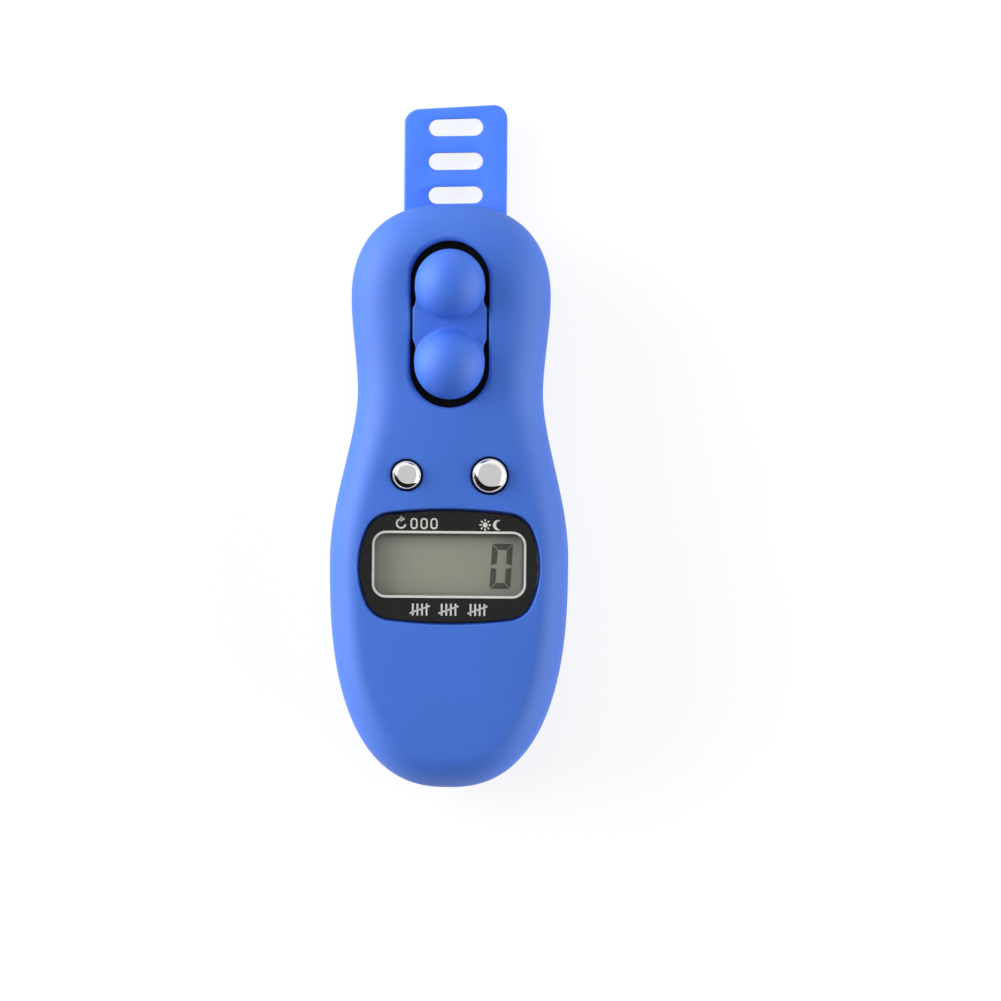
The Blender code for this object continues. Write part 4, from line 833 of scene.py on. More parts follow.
class TALLY_OT_rear_case(Operator):
    """Rear case half with the door's recess, the band's channel, its keeper bridge and its peg"""

    bl_idname = "tally.rear_case"
    bl_label = "Rear case half"

    def execute(self, context):
        case, band = context.scene.tally_case, context.scene.tally_band
        body = Body(case)
        base = body.split - case.seam_gap / 2
        rings = [[(*point, base) for point in body.outline(case.seam_edge)]]
        rings += body.rear_rings(0.0, base - case.seam_edge)
        skin = looped("rear_case", rings)

        cell = middle("coin_cell").xy
        cell_bore = extent("coin_cell").x / 2 + 0.3 * MM
        cell_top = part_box("coin_cell")[1].z
        cup_high = cell_top + 1.9 * MM
        door, recess_high = door_outline(), 1.4 * MM
        half_channel, channel_high = band.width / 2 + 0.7 * MM, 3.05 * MM
        channel_start = band.root - 0.6 * MM
        screws = [middle(f"case_screw_{index}").xy for index in range(1, 5)]
        door_screw = middle("battery_door_screw").xy

        # Walls that stay round the recess, over the channel and round the cell, and the screw posts' radius
        wall, roof_wall, cup_wall, post = 1.2 * MM, 1.4 * MM, 1.4 * MM, 2.0 * MM
        cavity = looped("rear_cavity", body.rear_rings(case.wall, body.split + OVERRUN, 7))
        roof_low = channel_start - wall
        roof_centre = (0, (roof_low + body.half_length) / 2)
        roof = rectangle(2 * (half_channel + wall), body.half_length - roof_low, roof_centre)
        posts = [prism(circle(post, screw, 32), -OVERRUN, base) for screw in screws]
        posts.append(prism(circle(post, door_screw, 32), -OVERRUN, cup_high))
        carve(
            cavity,
            looped("rear_ledge", prism(offset(door, wall), -OVERRUN, recess_high + wall)),
            looped("rear_roof", prism(roof, -OVERRUN, channel_high + roof_wall)),
            looped("rear_cup", prism(circle(cell_bore + cup_wall, cell), -OVERRUN, cup_high)),
            looped("rear_posts", *posts),
        )
        carve(skin, cavity)
        # A lip stands up into the front half's rebate
        lip_outer, lip_inner, lip_height = 0.9 * MM, 1.55 * MM, 0.9 * MM
        lip = prism(body.outline(lip_outer), body.split - lip_height, body.split + lip_height)
        lip = looped("rear_lip", lip)
        core = prism(body.outline(lip_inner), body.split - OVERRUN, body.split + OVERRUN)
        carve(lip, looped("rear_core", core))
        carve(skin, lip, operation="UNION")

        door_gap, door_edge = 0.1 * MM, 0.18 * MM
        well_radius, well_deep, well_edge = 1.8 * MM, 3.0 * MM, 0.12 * MM
        mouths = [flared(skin, offset(door, door_gap), recess_high, door_edge, up=False)]
        for screw in screws:
            mouths.append(flared(skin, circle(well_radius, screw, 48), well_deep, well_edge, up=False))
        mouths = looped("rear_mouths", *mouths)
        bore = looped("rear_bore", prism(circle(cell_bore, cell), -OVERRUN, cell_top + 0.9 * MM))
        reach = body.half_length + OVERRUN
        channel = rectangle(2 * half_channel, reach - channel_start, (0, (reach + channel_start) / 2))
        channel = looped("rear_channel", prism(channel, -OVERRUN, channel_high))
        carve(skin, mouths, bore, channel)

        # The keeper bridge spans the channel beside the slot that the peg stands in
        bridge_width, bridge_depth, bridge_high = 2 * half_channel + 1.2 * MM, 2.0 * MM, 1.2 * MM
        bridge_corner, bridge_edge = 0.3 * MM, 0.25 * MM
        peg_width, peg_length, peg_edge = 1.6 * MM, 5.8 * MM, 0.3 * MM
        peg_y = band_slot_y(band, PEG_SLOT)
        bridge_y = peg_y + band.slot_width / 2 + 0.3 * MM
        bridge_centre = (0, bridge_y + bridge_depth / 2)
        bridge = rounded_outline(bridge_width, bridge_depth, (bridge_corner, bridge_corner), bridge_centre)
        bridge = looped("rear_bridge", soft_prism(bridge, 0.0, bridge_high, bridge_edge))
        keep = looped("rear_keep", body.rear_rings(0.05 * MM, body.split))
        carve(bridge, keep, operation="INTERSECT")
        peg = [Vector(point) for point in lying_stadium(peg_width, peg_length, peg_y, 10)]
        peg = looped("rear_peg", soft_prism(peg, bridge_high, channel_high + 0.3 * MM, peg_edge))
        carve(skin, bridge, peg, operation="UNION")
        seat(skin, "case", "case", bpy.data.materials["soft_touch_coat"], "rear_shell")
        return {"FINISHED"}


def door_outline():
    low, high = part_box("battery_door")
    # The CAD box of the door takes in its hooks, which reach 1 mm past its upper edge
    top = high.y - 1.0 * MM
    upper_corner, lower_corner = 4.5 * MM, 8.0 * MM
    centre = ((low.x + high.x) / 2, (low.y + top) / 2)
    return rounded_outline(high.x - low.x, top - low.y, (upper_corner, lower_corner), centre, steps=16)


class TALLY_OT_battery_door(Operator):
    """Battery door with softened edges, its two hooks and the well of its screw"""

    bl_idname = "tally.battery_door"
    bl_label = "Battery door"

    def execute(self, context):
        low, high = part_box("battery_door")
        outline = door_outline()
        thick, edge = 1.2 * MM, 0.2 * MM
        door = looped("door_cover", soft_prism(outline, low.z, low.z + thick, edge))
        # Each hook is a root inside the cover's upper edge, and a flat tongue that reaches past the edge
        top = max(point.y for point in outline)
        tab_width, tab_share = 3.0 * MM, 0.53
        roots, hooks = [], []
        for side in (-1, 1):
            x = side * (high.x - low.x) / 2 * tab_share
            root = rectangle(tab_width, 0.9 * MM, (x, top - 0.65 * MM))
            hook = rectangle(tab_width, 2.1 * MM, (x, top - 0.05 * MM))
            roots.append(prism(root, low.z + 0.6 * MM, high.z))
            hooks.append(prism(hook, high.z - 0.7 * MM, high.z))
        carve(door, looped("door_roots", *roots), looped("door_hooks", *hooks), operation="UNION")
        place = middle("battery_door_screw").xy
        well_radius, well_deep, well_edge, hole_radius = 1.8 * MM, low.z + 0.9 * MM, 0.15 * MM, 1.15 * MM
        well = flared(door, circle(well_radius, place, 48), well_deep, well_edge, up=False)
        hole = prism(circle(hole_radius, place, 32), -OVERRUN, OVERRUN)
        carve(door, looped("door_well", well), looped("door_hole", hole))
        seat(door, "case", "case", bpy.data.materials["soft_touch_coat"], "battery_door")
        return {"FINISHED"}


class TALLY_OT_thumb_piece(Operator):
    """Sliding thumb piece: two domed beads on a plate"""

    bl_idname = "tally.thumb_piece"
    bl_label = "Thumb piece"

    def execute(self, context):
        slider = context.scene.tally_slider
        low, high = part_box("bead_slider")
        beads = slider_centre(slider)
        plate_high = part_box("front_shell")[1].z - slider.plate_sink
        outline = plate_outline(slider, beads)
        plate = looped("thumb_beads", soft_prism(outline, low.z, plate_high, slider.plate_edge, both=False))
        profile = bead_profile(slider, plate_high, high.z - slider.bead / 2)
        # Each bead is cut off just inside the plate's outline, so that its foot doesn't stick out over it
        inside = offset(outline, -0.03 * MM)
        for side in (-1, 1):
            centre = (beads.x, beads.y + side * slider.pitch / 2)
            bead = looped("bead", turned(profile, centre, 128))
            limit = looped("bead_limit", prism(inside, plate_high - 0.3 * MM, ABOVE))
            carve(bead, limit, operation="INTERSECT")
            carve(plate, bead, operation="UNION")
        # The flange under the face keeps the thumb piece in the case; its ends lean inwards
        half = slider.pitch / 2
        flange = [
            (half - 3.0 * MM, low.z),
            (half - 3.2 * MM, low.z + 0.4 * MM),
            (half - 3.6 * MM, low.z + 0.8 * MM),
        ]
        flange += [(-y, z) for y, z in flange[::-1]]
        sides = [[(x, beads.y + y, z) for y, z in flange] for x in (low.x, high.x)]
        carve(plate, looped("flange", sides), operation="UNION")
        abs_blue = satin_abs(slider.plastic)
        seat(plate, "thumb_piece", "bead", abs_blue, "bead_slider", angle=math.radians(38))
        return {"FINISHED"}


def bead_profile(slider, plate_high, centre_high, foot_steps=8, steps=28):
    """Radii and heights of a bead from inside the plate, round the fillet at its foot, up to its top."""
    radius, foot = slider.bead / 2, slider.foot
    lift = plate_high + foot - centre_high
    start = math.asin(lift / (radius + foot))
    reach = (radius + foot) * math.cos(start)
    root = plate_high - 0.4 * MM
    profile = [(0.0, root), (reach, root)]
    for step in range(foot_steps + 1):
        turn = (math.pi / 2 - start) * step / foot_steps
        profile.append((reach - foot * math.sin(turn), plate_high + foot * (1 - math.cos(turn))))
    for step in range(1, steps + 1):
        turn = mixed(start, math.pi / 2, step / steps)
        profile.append((radius * math.cos(turn), centre_high + radius * math.sin(turn)))
    return profile


def plate_outline(slider, centre, points=220):
    """The plate's outline: full width between the beads, drawn in round both beads."""
    # Where the drawing in starts, short of a bead's middle, how long it takes, and how its sides then lean
    drawn_from, drawn_over, lean = 3.5 * MM, 2.0 * MM, 0.1
    radius, half_pitch = slider.bead / 2, slider.pitch / 2
    outline = []
    for index in range(points):
        turn = 2 * math.pi * index / points
        y = (half_pitch + radius) * math.sin(turn)
        past = abs(y) - half_pitch
        round_half = math.sqrt(max(radius * radius - past * past, 0.0)) + lean * max(-past, 0.0)
        blend = smoothstep((past + drawn_from) / drawn_over)
        x = mixed(slider.plate_width / 2, round_half, blend)
        outline.append(centre + Vector((math.copysign(x, math.cos(turn)), y)))
    return outline


class TALLY_OT_buttons(Operator):
    """Chrome dome of the reset button and chrome dome of the light button"""

    bl_idname = "tally.buttons"
    bl_label = "Push buttons"

    def execute(self, context):
        buttons = context.scene.tally_buttons
        chrome = chrome_plate(buttons.chrome)
        skirt = moulded_plastic("bare_abs", srgb("#2448a8"), 0.6)
        # The height down to which the buttons are plated; the moulding under it is bare
        plated_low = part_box("front_shell")[1].z - 0.7 * MM
        for name, diameter in (("reset", buttons.reset), ("light", buttons.light)):
            profile = button_profile(buttons, diameter, plated_low, *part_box(name + "_button"))
            dome = looped(name + "_dome", turned(profile, middle(name + "_button").xy, 96))
            seat(dome, name + "_key", "chrome", chrome, name + "_button")
            dome.data.materials.append(skirt)
            for polygon in dome.data.polygons:
                polygon.material_index = int(polygon.center.z < plated_low)
        return {"FINISHED"}


def button_profile(buttons, diameter, plated_low, low, high, steps=40, edge_steps=4):
    """Radii and heights of a button: its stem, its retaining lip, its wall and its dome."""
    radius, edge = diameter / 2, 0.08 * MM
    inner = radius - buttons.rim
    crown = [(0.0, high.z)]
    for step in range(steps):
        way = (step + 0.5) / steps
        past = max(way - buttons.flat, 0.0) / (1 - buttons.flat)
        slope = mixed(buttons.crown * min(way / buttons.flat, 1.0), buttons.fall, past)
        across, height = crown[-1]
        crown.append((across + inner / steps, height - math.tan(slope) * inner / steps))
    foot = crown[-1][1]
    # The lip lies as far under the dome as in the solid, whose dome is 0.26 of its diameter high
    dome_share, wall_height, stem, lip, lip_height = 0.26, 1.8 * MM, 1.1 * MM, 1.0 * MM, 0.8 * MM
    lip_high = high.z - dome_share * diameter - wall_height
    profile = [
        (0.0, low.z),
        (stem, low.z),
        (stem, lip_high - lip_height),
        (radius + lip, lip_high - lip_height),
        (radius + lip, lip_high),
        (radius, lip_high),
        (radius, plated_low),
    ]
    for step in range(edge_steps + 1):
        turn = math.pi / 2 * step / edge_steps
        profile.append((radius - edge * (1 - math.cos(turn)), foot - edge * (1 - math.sin(turn))))
    return profile + crown[::-1]


class TALLY_OT_lens(Operator):
    """Clear lens with the black print behind it, its white frame and the marks of the two buttons"""

    bl_idname = "tally.lens"
    bl_label = "Display lens"

    def execute(self, context):
        display = context.scene.tally_display
        low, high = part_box("display_lens")
        centre = middle("display_lens").xy
        outline = lens_outline(display)
        edge, dome, dome_steps = display.lens_edge, display.lens_dome, 10
        loops = soft_prism(outline, low.z, high.z - dome, edge, 1, both=False)
        rim = loops[-1]
        for step in range(dome_steps - 1, -1, -1):
            way = step / dome_steps
            height = high.z - dome * way * way
            loops.append([(mixed(centre.x, x, way), mixed(centre.y, y, way), height) for x, y, _ in rim])
        cover = looped("lens_cover", loops, ends="closing")
        seat(cover, "case", "lens", clear_acrylic("clear_acrylic", (0.98, 0.98, 0.98)), "display_lens")

        # The white print lies just under the lens, and the black sheet just under the white print
        black = screen_ink("black_screen_ink", display.black, 0.5)
        white = screen_ink("white_screen_ink", display.white, 0.55)
        sheet_low, sheet_high = low.z - 0.08 * MM, low.z - 0.02 * MM
        print_low, print_high = low.z - 0.018 * MM, low.z - 0.004 * MM
        sheet = looped("lens_print", prism(offset(outline, -0.04 * MM), sheet_low, sheet_high))
        ring = frame_outline(display)
        line = display.frame_line
        # The sheet's window is cut under the frame's line, so its edge doesn't show
        window = prism(offset(ring, -line * 0.6), low.z - OVERRUN, low.z + OVERRUN)
        carve(sheet, looped("print_window", window))
        seat(sheet, "case", "lens", black)

        inner = offset(ring, -line)
        levels = ((ring, print_low), (ring, print_high), (inner, print_high), (inner, print_low))
        loops = [[(*point, height) for point in outline] for outline, height in levels]
        seat(looped("lens_frame_line", loops, ends="joined"), "case", "white_plastic", white)
        marks = {"reset_mark": reset_mark, "lamp_mark": lamp_mark, "tally_mark": tally_mark}
        for name, shapes in marks.items():
            bodies = [prism(shape, print_low, print_high) for shape in shapes()]
            seat(looped(name, *bodies), "case", "white_plastic", white)
        return {"FINISHED"}


def frame_outline(display):
    corners = (display.frame_corner, display.frame_corner)
    return rounded_outline(display.frame_width, display.frame_height, corners, FRAME_CENTRE, steps=12)


def arc_strip(centre, radius, width, start, stop, steps=28):
    """The outline of a stroke along an arc, with its angles in degrees."""
    turns = [math.radians(mixed(start, stop, step / steps)) for step in range(steps + 1)]
    outer = [Vector((math.cos(t), math.sin(t))) * (radius + width / 2) for t in turns]
    inner = [Vector((math.cos(t), math.sin(t))) * (radius - width / 2) for t in turns[::-1]]
    return [Vector(centre) + point for point in outer + inner]


def reset_mark():
    """A turning arrow before three zeros, printed beside the reset button in place of a word."""
    x, y = RESET_MARK
    radius, stroke = 0.6 * MM, 0.24 * MM
    shapes = [arc_strip((x, y), radius, stroke, 70, 350)]
    tip = Vector((x + 0.04 * MM, y + radius))
    head = [(0.52, 0.0), (-0.16, 0.42), (-0.16, -0.42)]
    shapes.append([tip + Vector(point) * MM for point in head])
    first, pitch = 1.75, 1.35
    for index in range(3):
        shapes += zero_halves((x + (first + index * pitch) * MM, y))
    return shapes


def zero_halves(centre):
    """A small zero as two strokes that meet at its top and bottom."""
    width, height, corner, stroke = 0.98 * MM, 1.5 * MM, 0.45 * MM, 0.22 * MM
    outer = rounded_outline(width, height, (corner, corner), centre, steps=8)
    inner = offset(outer, -stroke)
    halves = []
    for side in (1, -1):
        kept = [index for index, point in enumerate(outer) if (point.x - centre[0]) * side >= -WELD]
        far, near = [outer[index] for index in kept], [inner[index] for index in kept]
        if side > 0:
            turn = next(i for i, point in enumerate(far) if point.y < centre[1] - WELD)
            far, near = far[turn:] + far[:turn], near[turn:] + near[:turn]
        halves.append(far + near[::-1])
    return halves


def stroke_between(start, stop, width):
    """The outline of a straight stroke."""
    start, stop = Vector(start), Vector(stop)
    along = (stop - start).normalized()
    across = Vector((-along.y, along.x)) * width / 2
    return [start - across, stop - across, stop + across, start + across]


def lamp_mark():
    """A small sun and a crescent, printed beside the light button in place of a word."""
    x, y = LAMP_MARK
    disc, ray_start, ray_end, ray_stroke = 0.34 * MM, 0.48, 0.78, 0.19 * MM
    shapes = [circle(disc, (x, y), 28)]
    for index in range(8):
        turn = math.pi / 4 * index
        along = Vector((math.cos(turn), math.sin(turn))) * MM
        start, stop = Vector((x, y)) + along * ray_start, Vector((x, y)) + along * ray_end
        shapes.append(stroke_between(start, stop, ray_stroke))
    # The crescent is open to the right, and an inner bow closes it
    x += 1.75 * MM
    radius, bow = 0.7 * MM, 0.62 * MM
    outer = [math.radians(mixed(60, 300, step / 24)) for step in range(25)]
    moon = [Vector((x + radius * math.cos(turn), y + radius * math.sin(turn))) for turn in outer]
    start, stop = moon[-1], moon[0]
    for step in range(1, 16):
        way = math.radians(mixed(-90, 90, step / 16))
        inner = Vector((-bow * math.cos(way), (start.y - stop.y) / 2 * -math.sin(way)))
        moon.append((start + stop) / 2 + inner)
    shapes.append(moon)
    return shapes


def tally_mark():
    """Three groups of tally strokes, printed below the frame in place of a name."""
    pitch, gap, half_height, stroke = 3.9 * MM, 0.62 * MM, 0.8 * MM, 0.24 * MM
    slash_reach, slash_rise, slash_stroke = 1.35 * MM, 0.5 * MM, 0.22 * MM
    y = TALLY_MARK_Y
    shapes = []
    for group in range(3):
        x = (group - 1) * pitch
        for index in range(4):
            place = x + (index - 1.5) * gap
            shapes.append(stroke_between((place, y - half_height), (place, y + half_height), stroke))
        slash = ((x - slash_reach, y - slash_rise), (x + slash_reach, y + slash_rise))
        shapes.append(stroke_between(*slash, slash_stroke))
    return shapes


class TALLY_OT_display(Operator):
    """Display glass with its film, and the segments of the digit that it shows"""

    bl_idname = "tally.display"
    bl_label = "Display"

    def execute(self, context):
        display = context.scene.tally_display
        low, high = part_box("lcd_panel")
        centre = middle("lcd_panel").xy
        corner, edge = 0.3 * MM, 0.1 * MM
        outline = rounded_outline(high.x - low.x, high.y - low.y, (corner, corner), centre, steps=4)
        # The film's painted shade runs along the inner edges of the printed frame
        line = display.frame_line
        half = (display.frame_width / 2 - line, display.frame_height / 2 - line)
        film = polariser_film(display.glass, FRAME_CENTRE, half)
        glass = looped("lcd_glass", soft_prism(outline, low.z, high.z, edge, 3))
        seat(glass, "case", "lcd", film, "lcd_panel")
        bodies = [prism(shape, high.z + 0.002 * MM, high.z + 0.03 * MM) for shape in digit_zero(display)]
        ink = screen_ink("segment_crystal", display.segment, 0.45)
        seat(looped("count_digit", *bodies), "case", "lcd", ink)
        return {"FINISHED"}


def digit_zero(display):
    """The six lit segments of a slanted seven-segment zero, with mitred ends."""
    centre = Vector(DIGIT_CENTRE)
    stroke, gap = display.digit_stroke, 0.05 * MM
    x, y = display.digit_width / 2, display.digit_height / 2
    lean = math.tan(math.radians(3.5))
    end = [(-x + 1.6 * gap, y), (x - 1.6 * gap, y), (x - stroke, y - stroke), (gap - x + stroke, y - stroke)]
    near = x - stroke + gap
    side = [(x, gap * 3), (x, y - 2 * gap), (near, y - stroke - gap), (near, stroke * 0.45)]
    shapes = [end, [(px, -py) for px, py in end[::-1]]]
    for across in (1, -1):
        for up in (1, -1):
            shape = [(px * across, py * up) for px, py in side]
            shapes.append(shape if across * up > 0 else shape[::-1])
    return [[centre + Vector((px + py * lean, py)) for px, py in shape] for shape in shapes]


def band_slot_y(band, index):
    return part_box("front_shell")[1].y + band.tail - band.slot_margin - index * band.slot_pitch


def leaned(band, points):
    """Moves the band sideways in its channel and tilts its free end, as it lies."""
    side_shift, body_tilt, end_tilt = 0.45 * MM, 0.023, 0.062
    half_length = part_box("front_shell")[1].y
    peg_y, first_y = band_slot_y(band, PEG_SLOT), band_slot_y(band, 0)
    moved = []
    for x, y in points:
        slide = side_shift * smoothstep((y - band.root) / (peg_y - band.root))
        tail = smoothstep((y - first_y) / band.slot_margin)
        tilt = mixed(body_tilt, end_tilt, tail) * smoothstep((y - peg_y) / (half_length - peg_y))
        moved.append(Vector((x + slide, y + x * tilt)))
    return moved


class TALLY_OT_finger_band(Operator):
    """Slotted finger band with rounded edges, moulded round its anchor bar"""

    bl_idname = "tally.finger_band"
    bl_label = "Finger band"

    def execute(self, context):
        band = context.scene.tally_band
        low = 1.5 * MM
        high = low + band.thickness
        half, corner = band.width / 2, band.corner
        # The free end stays a hundredth of a millimetre short of the solid band's
        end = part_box("front_shell")[1].y + band.tail - 0.01 * MM
        side_steps, corner_steps = 60, 16
        side = [(half, mixed(band.root, end - corner, step / side_steps)) for step in range(side_steps)]
        for step in range(corner_steps + 1):
            turn = math.pi / 2 * step / corner_steps
            side.append((half - corner * (1 - math.cos(turn)), end - corner * (1 - math.sin(turn))))
        outline = leaned(band, side + [(-x, y) for x, y in side[::-1]])
        strap = looped("finger_strap", soft_prism(outline, low, high, band.edge, 5))
        cutters = []
        slot_edge = 0.2 * MM
        for index in range(band.slots):
            slot = lying_stadium(band.slot_width, band.slot_length, band_slot_y(band, index), 12)
            slot = leaned(band, slot)
            upper = flared(strap, slot, (low + high) / 2, slot_edge, True, 5)
            lower = flared(strap, slot, (low + high) / 2, slot_edge, False, 5)
            cutters.append(lower[::-1][:-1] + upper[1:])
        carve(strap, looped("strap_slots", *cutters))
        # At its root the band stands up into the case and ends in a bulb that the case holds
        stem_width, stem_high = band.width - 0.02 * MM, 5.4 * MM
        bulb_size, bulb_corner, bulb_high = (3.0 * MM, 1.7 * MM), 0.6 * MM, 6.25 * MM
        neck = band.root + band.thickness / 2
        stem = prism(
            rectangle(stem_width, band.thickness, (0, neck)), low + band.thickness / 2, stem_high
        )
        stem = looped("strap_stem", stem)
        bulb_centre = (neck, bulb_high - bulb_size[1] / 2)
        bulb = rounded_outline(*bulb_size, (bulb_corner, bulb_corner), bulb_centre, steps=6)
        reach = half - 0.1 * MM
        bulb = looped("strap_bulb", [[(x, point.x, point.y) for point in bulb] for x in (-reach, reach)])
        carve(strap, stem, bulb, operation="UNION")
        silicone = moulded_silicone(band.silicone)
        seat(strap, "case", "band", silicone, "finger_band", angle=math.radians(40))
        return {"FINISHED"}


class TALLY_OT_screws(Operator):
    """Pan head screws with cross recesses, in the rear case half and the battery door"""

    bl_idname = "tally.screws"
    bl_label = "Screws"

    def execute(self, context):
        zinc = plated_metal("zinc_plated_steel", srgb("#b9bbbd"), 0.3, (1.0, 1.0, 0.2), 0.4)
        nodes = [f"case_screw_{index}" for index in range(1, 5)] + ["battery_door_screw"]
        # Reach, width and depth of the recess at its mouth and at its bottom, in millimetres
        recess = ((0.9, 0.4, 0.32), (0.55, 0.5, 0.6))
        for node in nodes:
            low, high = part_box(node)
            place = middle(node).xy
            head = (1.0 if node.startswith("case") else 0.7) * MM
            screw = looped(node + "_turned", turned(screw_profile(low.z, high.z, head), place, 40))
            tools = []
            for lying in (False, True):
                for reach, width, deep in recess:
                    size = (2 * reach * MM, width * MM) if lying else (width * MM, 2 * reach * MM)
                    arm = prism(rectangle(*size, place), low.z - OVERRUN, low.z + deep * MM)
                    tools.append(looped(f"{node}_cross_{len(tools)}", arm))
            carve(screw, *tools)
            seat(screw, "case", "steel", zinc, node)
        return {"FINISHED"}


def screw_profile(low, high, head, steps=6):
    """Radii and heights of a screw driven upwards, with a softly domed head."""
    radius, shank, point = 1.55 * MM, 0.85 * MM, 0.6 * MM
    flat_share, dome_share = 0.6, 0.45
    profile = [(0.0, low)]
    for step in range(steps + 1):
        turn = math.pi / 2 * step / steps
        across = mixed(flat_share, 1.0, math.sin(turn)) * radius
        profile.append((across, low + dome_share * head * (1 - math.cos(turn))))
    profile += [(radius, low + head), (shank, low + head)]
    profile += [(shank, high - point), (shank * 0.5, high), (0.0, high)]
    return profile


class TALLY_OT_inside(Operator):
    """Materials of the pieces inside the case, which keep their CAD shapes"""

    bl_idname = "tally.inside"
    bl_label = "Inner pieces"

    def execute(self, context):
        looks = (
            (
                moulded_plastic("white_abs", srgb("#dedcd6"), 0.42),
                ("lcd_holder", "backlight_led", "reset_plunger", "light_plunger"),
            ),
            (
                moulded_plastic("black_nylon", srgb("#06070c"), 0.75),
                ("slider_retainer", "reset_switch", "light_switch"),
            ),
            (moulded_plastic("black_epoxy", srgb("#1a1a1b"), 0.3), ("controller_chip",)),
            (
                moulded_plastic("dark_ceramic", srgb("#3a3632"), 0.4),
                ("supply_capacitor", "timing_resistor"),
            ),
            (
                plated_metal("phosphor_bronze", srgb("#cba672"), 0.28, (1.0, 0.1, 1.0), 0.3),
                ("contact_wiper", "negative_contact", "positive_contact"),
            ),
            (
                plated_metal("spring_steel", srgb("#9d9fa2"), 0.25, (1.0, 1.0, 1.0), 0.2),
                ("centring_spring_upper", "centring_spring_lower"),
            ),
            (
                plated_metal("nickel_plated_steel", srgb("#c9c7c1"), 0.2, (1.0, 1.0, 0.3), 0.3),
                ("coin_cell",),
            ),
            (clear_acrylic("light_guide_acrylic", (0.92, 0.95, 0.96)), ("light_guide",)),
            (glass_fibre_board(srgb("#1f6a35")), ("circuit_board",)),
            (layered_rubber(srgb("#2b2b2e")), ("zebra_connector",)),
            (
                bpy.data.materials["zinc_plated_steel"],
                ("board_screw_1", "board_screw_2", *(f"retainer_screw_{index}" for index in range(1, 5))),
            ),
        )
        for material, nodes in looks:
            for node in nodes:
                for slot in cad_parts[node].material_slots:
                    slot.material = material
        return {"FINISHED"}


# Studio


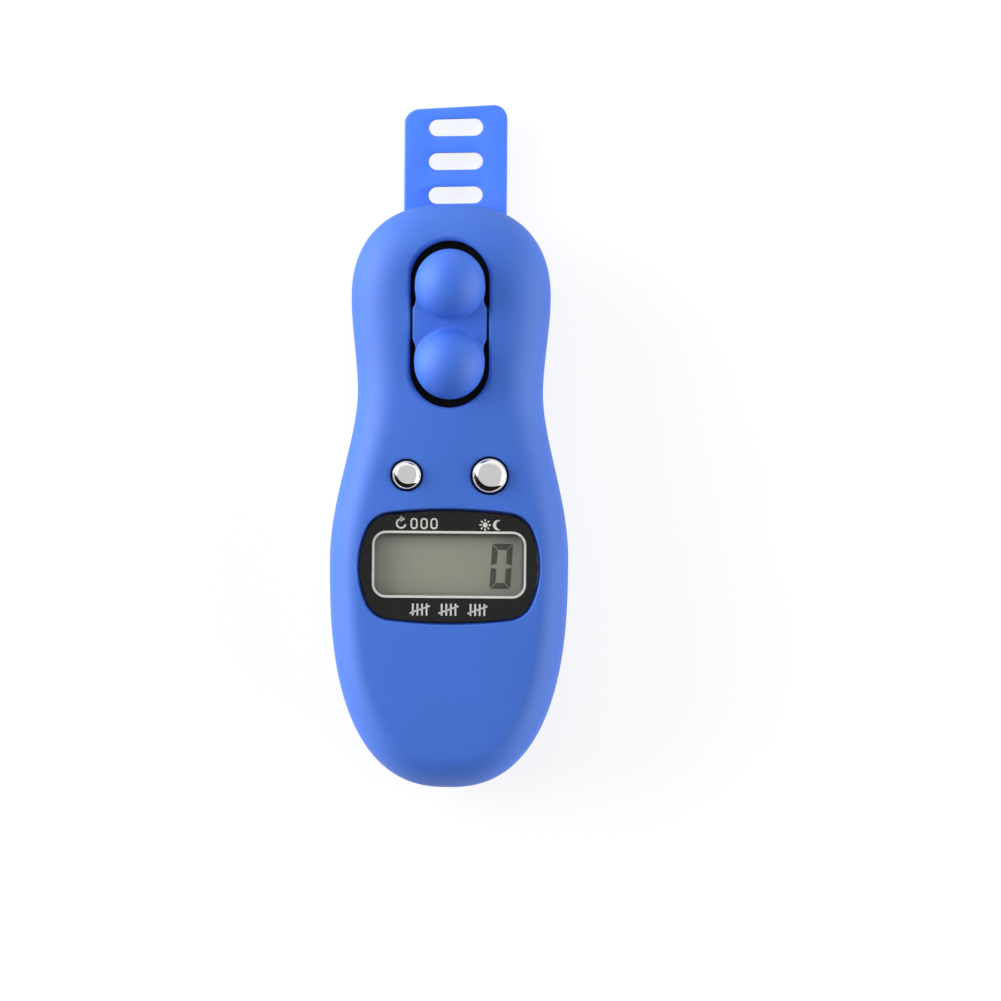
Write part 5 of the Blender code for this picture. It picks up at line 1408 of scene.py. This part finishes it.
class TALLY_OT_studio(Operator):
    """White floor, a soft light panel, the room's light and the camera"""

    bl_idname = "tally.studio"
    bl_label = "Studio"

    def execute(self, context):
        studio = context.scene.tally_studio
        self.add_floor(studio)
        self.add_room(context, studio)
        self.add_panel(context, studio)
        case_middle = 6.5 * MM
        camera = bpy.data.cameras.new("camera")
        camera.sensor_width = 36.0
        camera.lens = camera.sensor_width * studio.distance / studio.view_width
        camera.clip_end = 10.0
        viewer = bpy.data.objects.new("camera", camera)
        context.scene.collection.objects.link(viewer)
        viewer.location = (*studio.view, case_middle + studio.distance)
        viewer.rotation_euler = (0.0, 0.0, studio.roll)
        context.scene.camera = viewer
        context.scene.view_settings.view_transform = "Standard"
        return {"FINISHED"}

    def add_panel(self, context, studio):
        """A large soft panel overhead, which reflections don't show."""
        lamp = bpy.data.lights.new("soft_panel", "AREA")
        lamp.shape = "SQUARE"
        lamp.size = 0.24
        lamp.energy = studio.panel
        panel = bpy.data.objects.new("soft_panel", lamp)
        context.scene.collection.objects.link(panel)
        place = Vector((-0.06, 0.17, 0.26))
        panel.location = place
        panel.rotation_euler = place.to_track_quat("Z", "Y").to_euler()
        panel.visible_camera = False
        panel.visible_glossy = False

    def add_floor(self, studio):
        """Matt white paper that shows white to the camera and in reflections, and keeps the shadow."""
        side, floor_low, floor_high = 3.0, -1.1 * MM, -0.1 * MM
        # How much of the floor's look is its own glow, and how strong that is
        glow_share, glow_strength = 0.78, 1.05
        floor = looped("floor", prism(rectangle(side, side), floor_low, floor_high))
        made, tree, shader = new_material("white_paper")
        # The paper's fibres are 0.02 mm thick, drawn at 0.5 mm
        grained(
            tree, shader, studio.paper, spread=0.01, patch=30.0, grain=0.5, rough=(0.85, 0.95), depth=0.01
        )
        path = add(tree, "LightPath").outputs
        seen = add(tree, "Math", {0: path["Is Camera Ray"], 1: path["Is Glossy Ray"]}, operation="MAXIMUM")
        seen = add(tree, "Math", {0: seen.outputs[0], 1: path["Is Transmission Ray"]}, operation="MAXIMUM")
        amount = add(tree, "Math", {0: seen.outputs[0]}, {1: glow_share}, operation="MULTIPLY").outputs[0]
        glow = add(tree, "Emission", None, {"Strength": glow_strength})
        blend = add(tree, "MixShader", {0: amount, 1: shader.outputs["BSDF"], 2: glow.outputs["Emission"]})
        tree.links.new(blend.outputs["Shader"], tree.nodes["Material Output"].inputs["Surface"])
        floor.data.materials.append(made)

    def add_room(self, context, studio):
        """White to the camera; else pale walls that glow on three sides, with a dark gap near the viewer."""
        world = bpy.data.worlds.new("studio_room")
        context.scene.world = world
        world.use_nodes = True
        tree = world.node_tree
        direction = add(tree, "TexCoord").outputs["Generated"]
        height = add(tree, "SeparateXYZ", {"Vector": direction}).outputs["Z"]
        # Strength, direction and the cosines between which each glow, and the gap, rises from nothing to full
        glow_rise, gap_rise = (0.78, 0.98), (0.12, 0.22)
        glows = (
            (studio.left, (-0.96, 0.24, 0.12), glow_rise),
            (studio.right, (0.98, -0.14, 0.10), glow_rise),
            (studio.far, (0.0, 0.96, 0.28), glow_rise),
            (studio.gap, (-0.404, -0.846, -0.342), gap_rise),
        )
        spots = []
        for strength, toward, (start, full) in glows:
            toward = {1: Vector(toward).normalized()}
            near = add(tree, "VectorMath", {0: direction}, toward, operation="DOT_PRODUCT").outputs["Value"]
            span = {"From Min": start, "From Max": full, "To Min": 0.0, "To Max": strength}
            spot = add(tree, "MapRange", {"Value": near}, span, interpolation_type="SMOOTHSTEP")
            spots.append(spot.outputs["Result"])
        glow = add(tree, "Math", {0: spots[0], 1: spots[1]}, operation="ADD")
        glow = add(tree, "Math", {0: glow.outputs["Value"], 1: spots[2]}, operation="ADD").outputs["Value"]
        # One room lights the counter and the other is mirrored: brightness low down and overhead, and how
        # much of the glows each takes
        rooms = []
        for low, high, part in ((studio.walls, studio.ceiling, 1.0), (1.15, studio.mirrored, 0.3)):
            span = {"From Min": 0.3, "From Max": 0.8, "To Min": low, "To Max": high}
            sky = add(tree, "MapRange", {"Value": height}, span, interpolation_type="SMOOTHSTEP")
            light = add(
                tree, "Math", {0: glow, 2: sky.outputs["Result"]}, {1: part}, operation="MULTIPLY_ADD"
            ).outputs["Value"]
            rooms.append(add(tree, "Background", {"Strength": light}, {"Color": (0.98, 0.98, 0.97, 1.0)}))
        tones = {6: (0.98, 0.97, 0.95, 1.0), 7: (*srgb("#231a16"), 1.0)}
        tone = add(tree, "Mix", {0: spots[3]}, tones, data_type="RGBA")
        tree.links.new(tone.outputs[2], rooms[1].inputs["Color"])
        path = add(tree, "LightPath").outputs
        lit, mirrored = (room.outputs["Background"] for room in rooms)
        room = add(tree, "MixShader", {0: path["Is Glossy Ray"], 1: lit, 2: mirrored}).outputs["Shader"]
        background = tree.nodes["Background"]
        background.inputs["Color"].default_value = (1.0, 1.0, 1.0, 1.0)
        background.inputs["Strength"].default_value = 1.0
        white = background.outputs["Background"]
        rays = {0: path["Is Camera Ray"], 1: path["Is Transmission Ray"]}
        seen = add(tree, "Math", rays, operation="MAXIMUM").outputs[0]
        final = add(tree, "MixShader", {0: seen, 1: room, 2: white})
        tree.links.new(final.outputs["Shader"], tree.nodes["World Output"].inputs["Surface"])


OPERATORS = (
    TALLY_OT_front_case,
    TALLY_OT_rear_case,
    TALLY_OT_battery_door,
    TALLY_OT_thumb_piece,
    TALLY_OT_buttons,
    TALLY_OT_lens,
    TALLY_OT_display,
    TALLY_OT_finger_band,
    TALLY_OT_screws,
    TALLY_OT_inside,
    TALLY_OT_studio,
)


class TALLY_PT_counter(Panel):
    """Builds the counter piece by piece and holds its sizes and colours"""

    bl_idname = "TALLY_PT_counter"
    bl_label = "Tally counter"
    bl_space_type = "VIEW_3D"
    bl_region_type = "UI"
    bl_category = "Tally counter"

    def draw(self, context):
        for operator in OPERATORS:
            self.layout.operator(operator.bl_idname)
        for name, group in SETTINGS.items():
            box = self.layout.box()
            settings = getattr(context.scene, name)
            for field in group.__annotations__:
                box.prop(settings, field)


def register():
    for name, group in SETTINGS.items():
        bpy.utils.register_class(group)
        setattr(bpy.types.Scene, name, PointerProperty(type=group))
    for operator in OPERATORS:
        bpy.utils.register_class(operator)
    bpy.utils.register_class(TALLY_PT_counter)


def unregister():
    bpy.utils.unregister_class(TALLY_PT_counter)
    for operator in reversed(OPERATORS):
        bpy.utils.unregister_class(operator)
    for name, group in SETTINGS.items():
        delattr(bpy.types.Scene, name)
        bpy.utils.unregister_class(group)


def main():
    register()
    bpy.ops.tally.front_case()
    bpy.ops.tally.rear_case()
    bpy.ops.tally.battery_door()
    bpy.ops.tally.thumb_piece()
    bpy.ops.tally.buttons()
    bpy.ops.tally.lens()
    bpy.ops.tally.display()
    bpy.ops.tally.finger_band()
    bpy.ops.tally.screws()
    bpy.ops.tally.inside()
    bpy.ops.tally.studio()


if __name__ == "__main__":
    main()
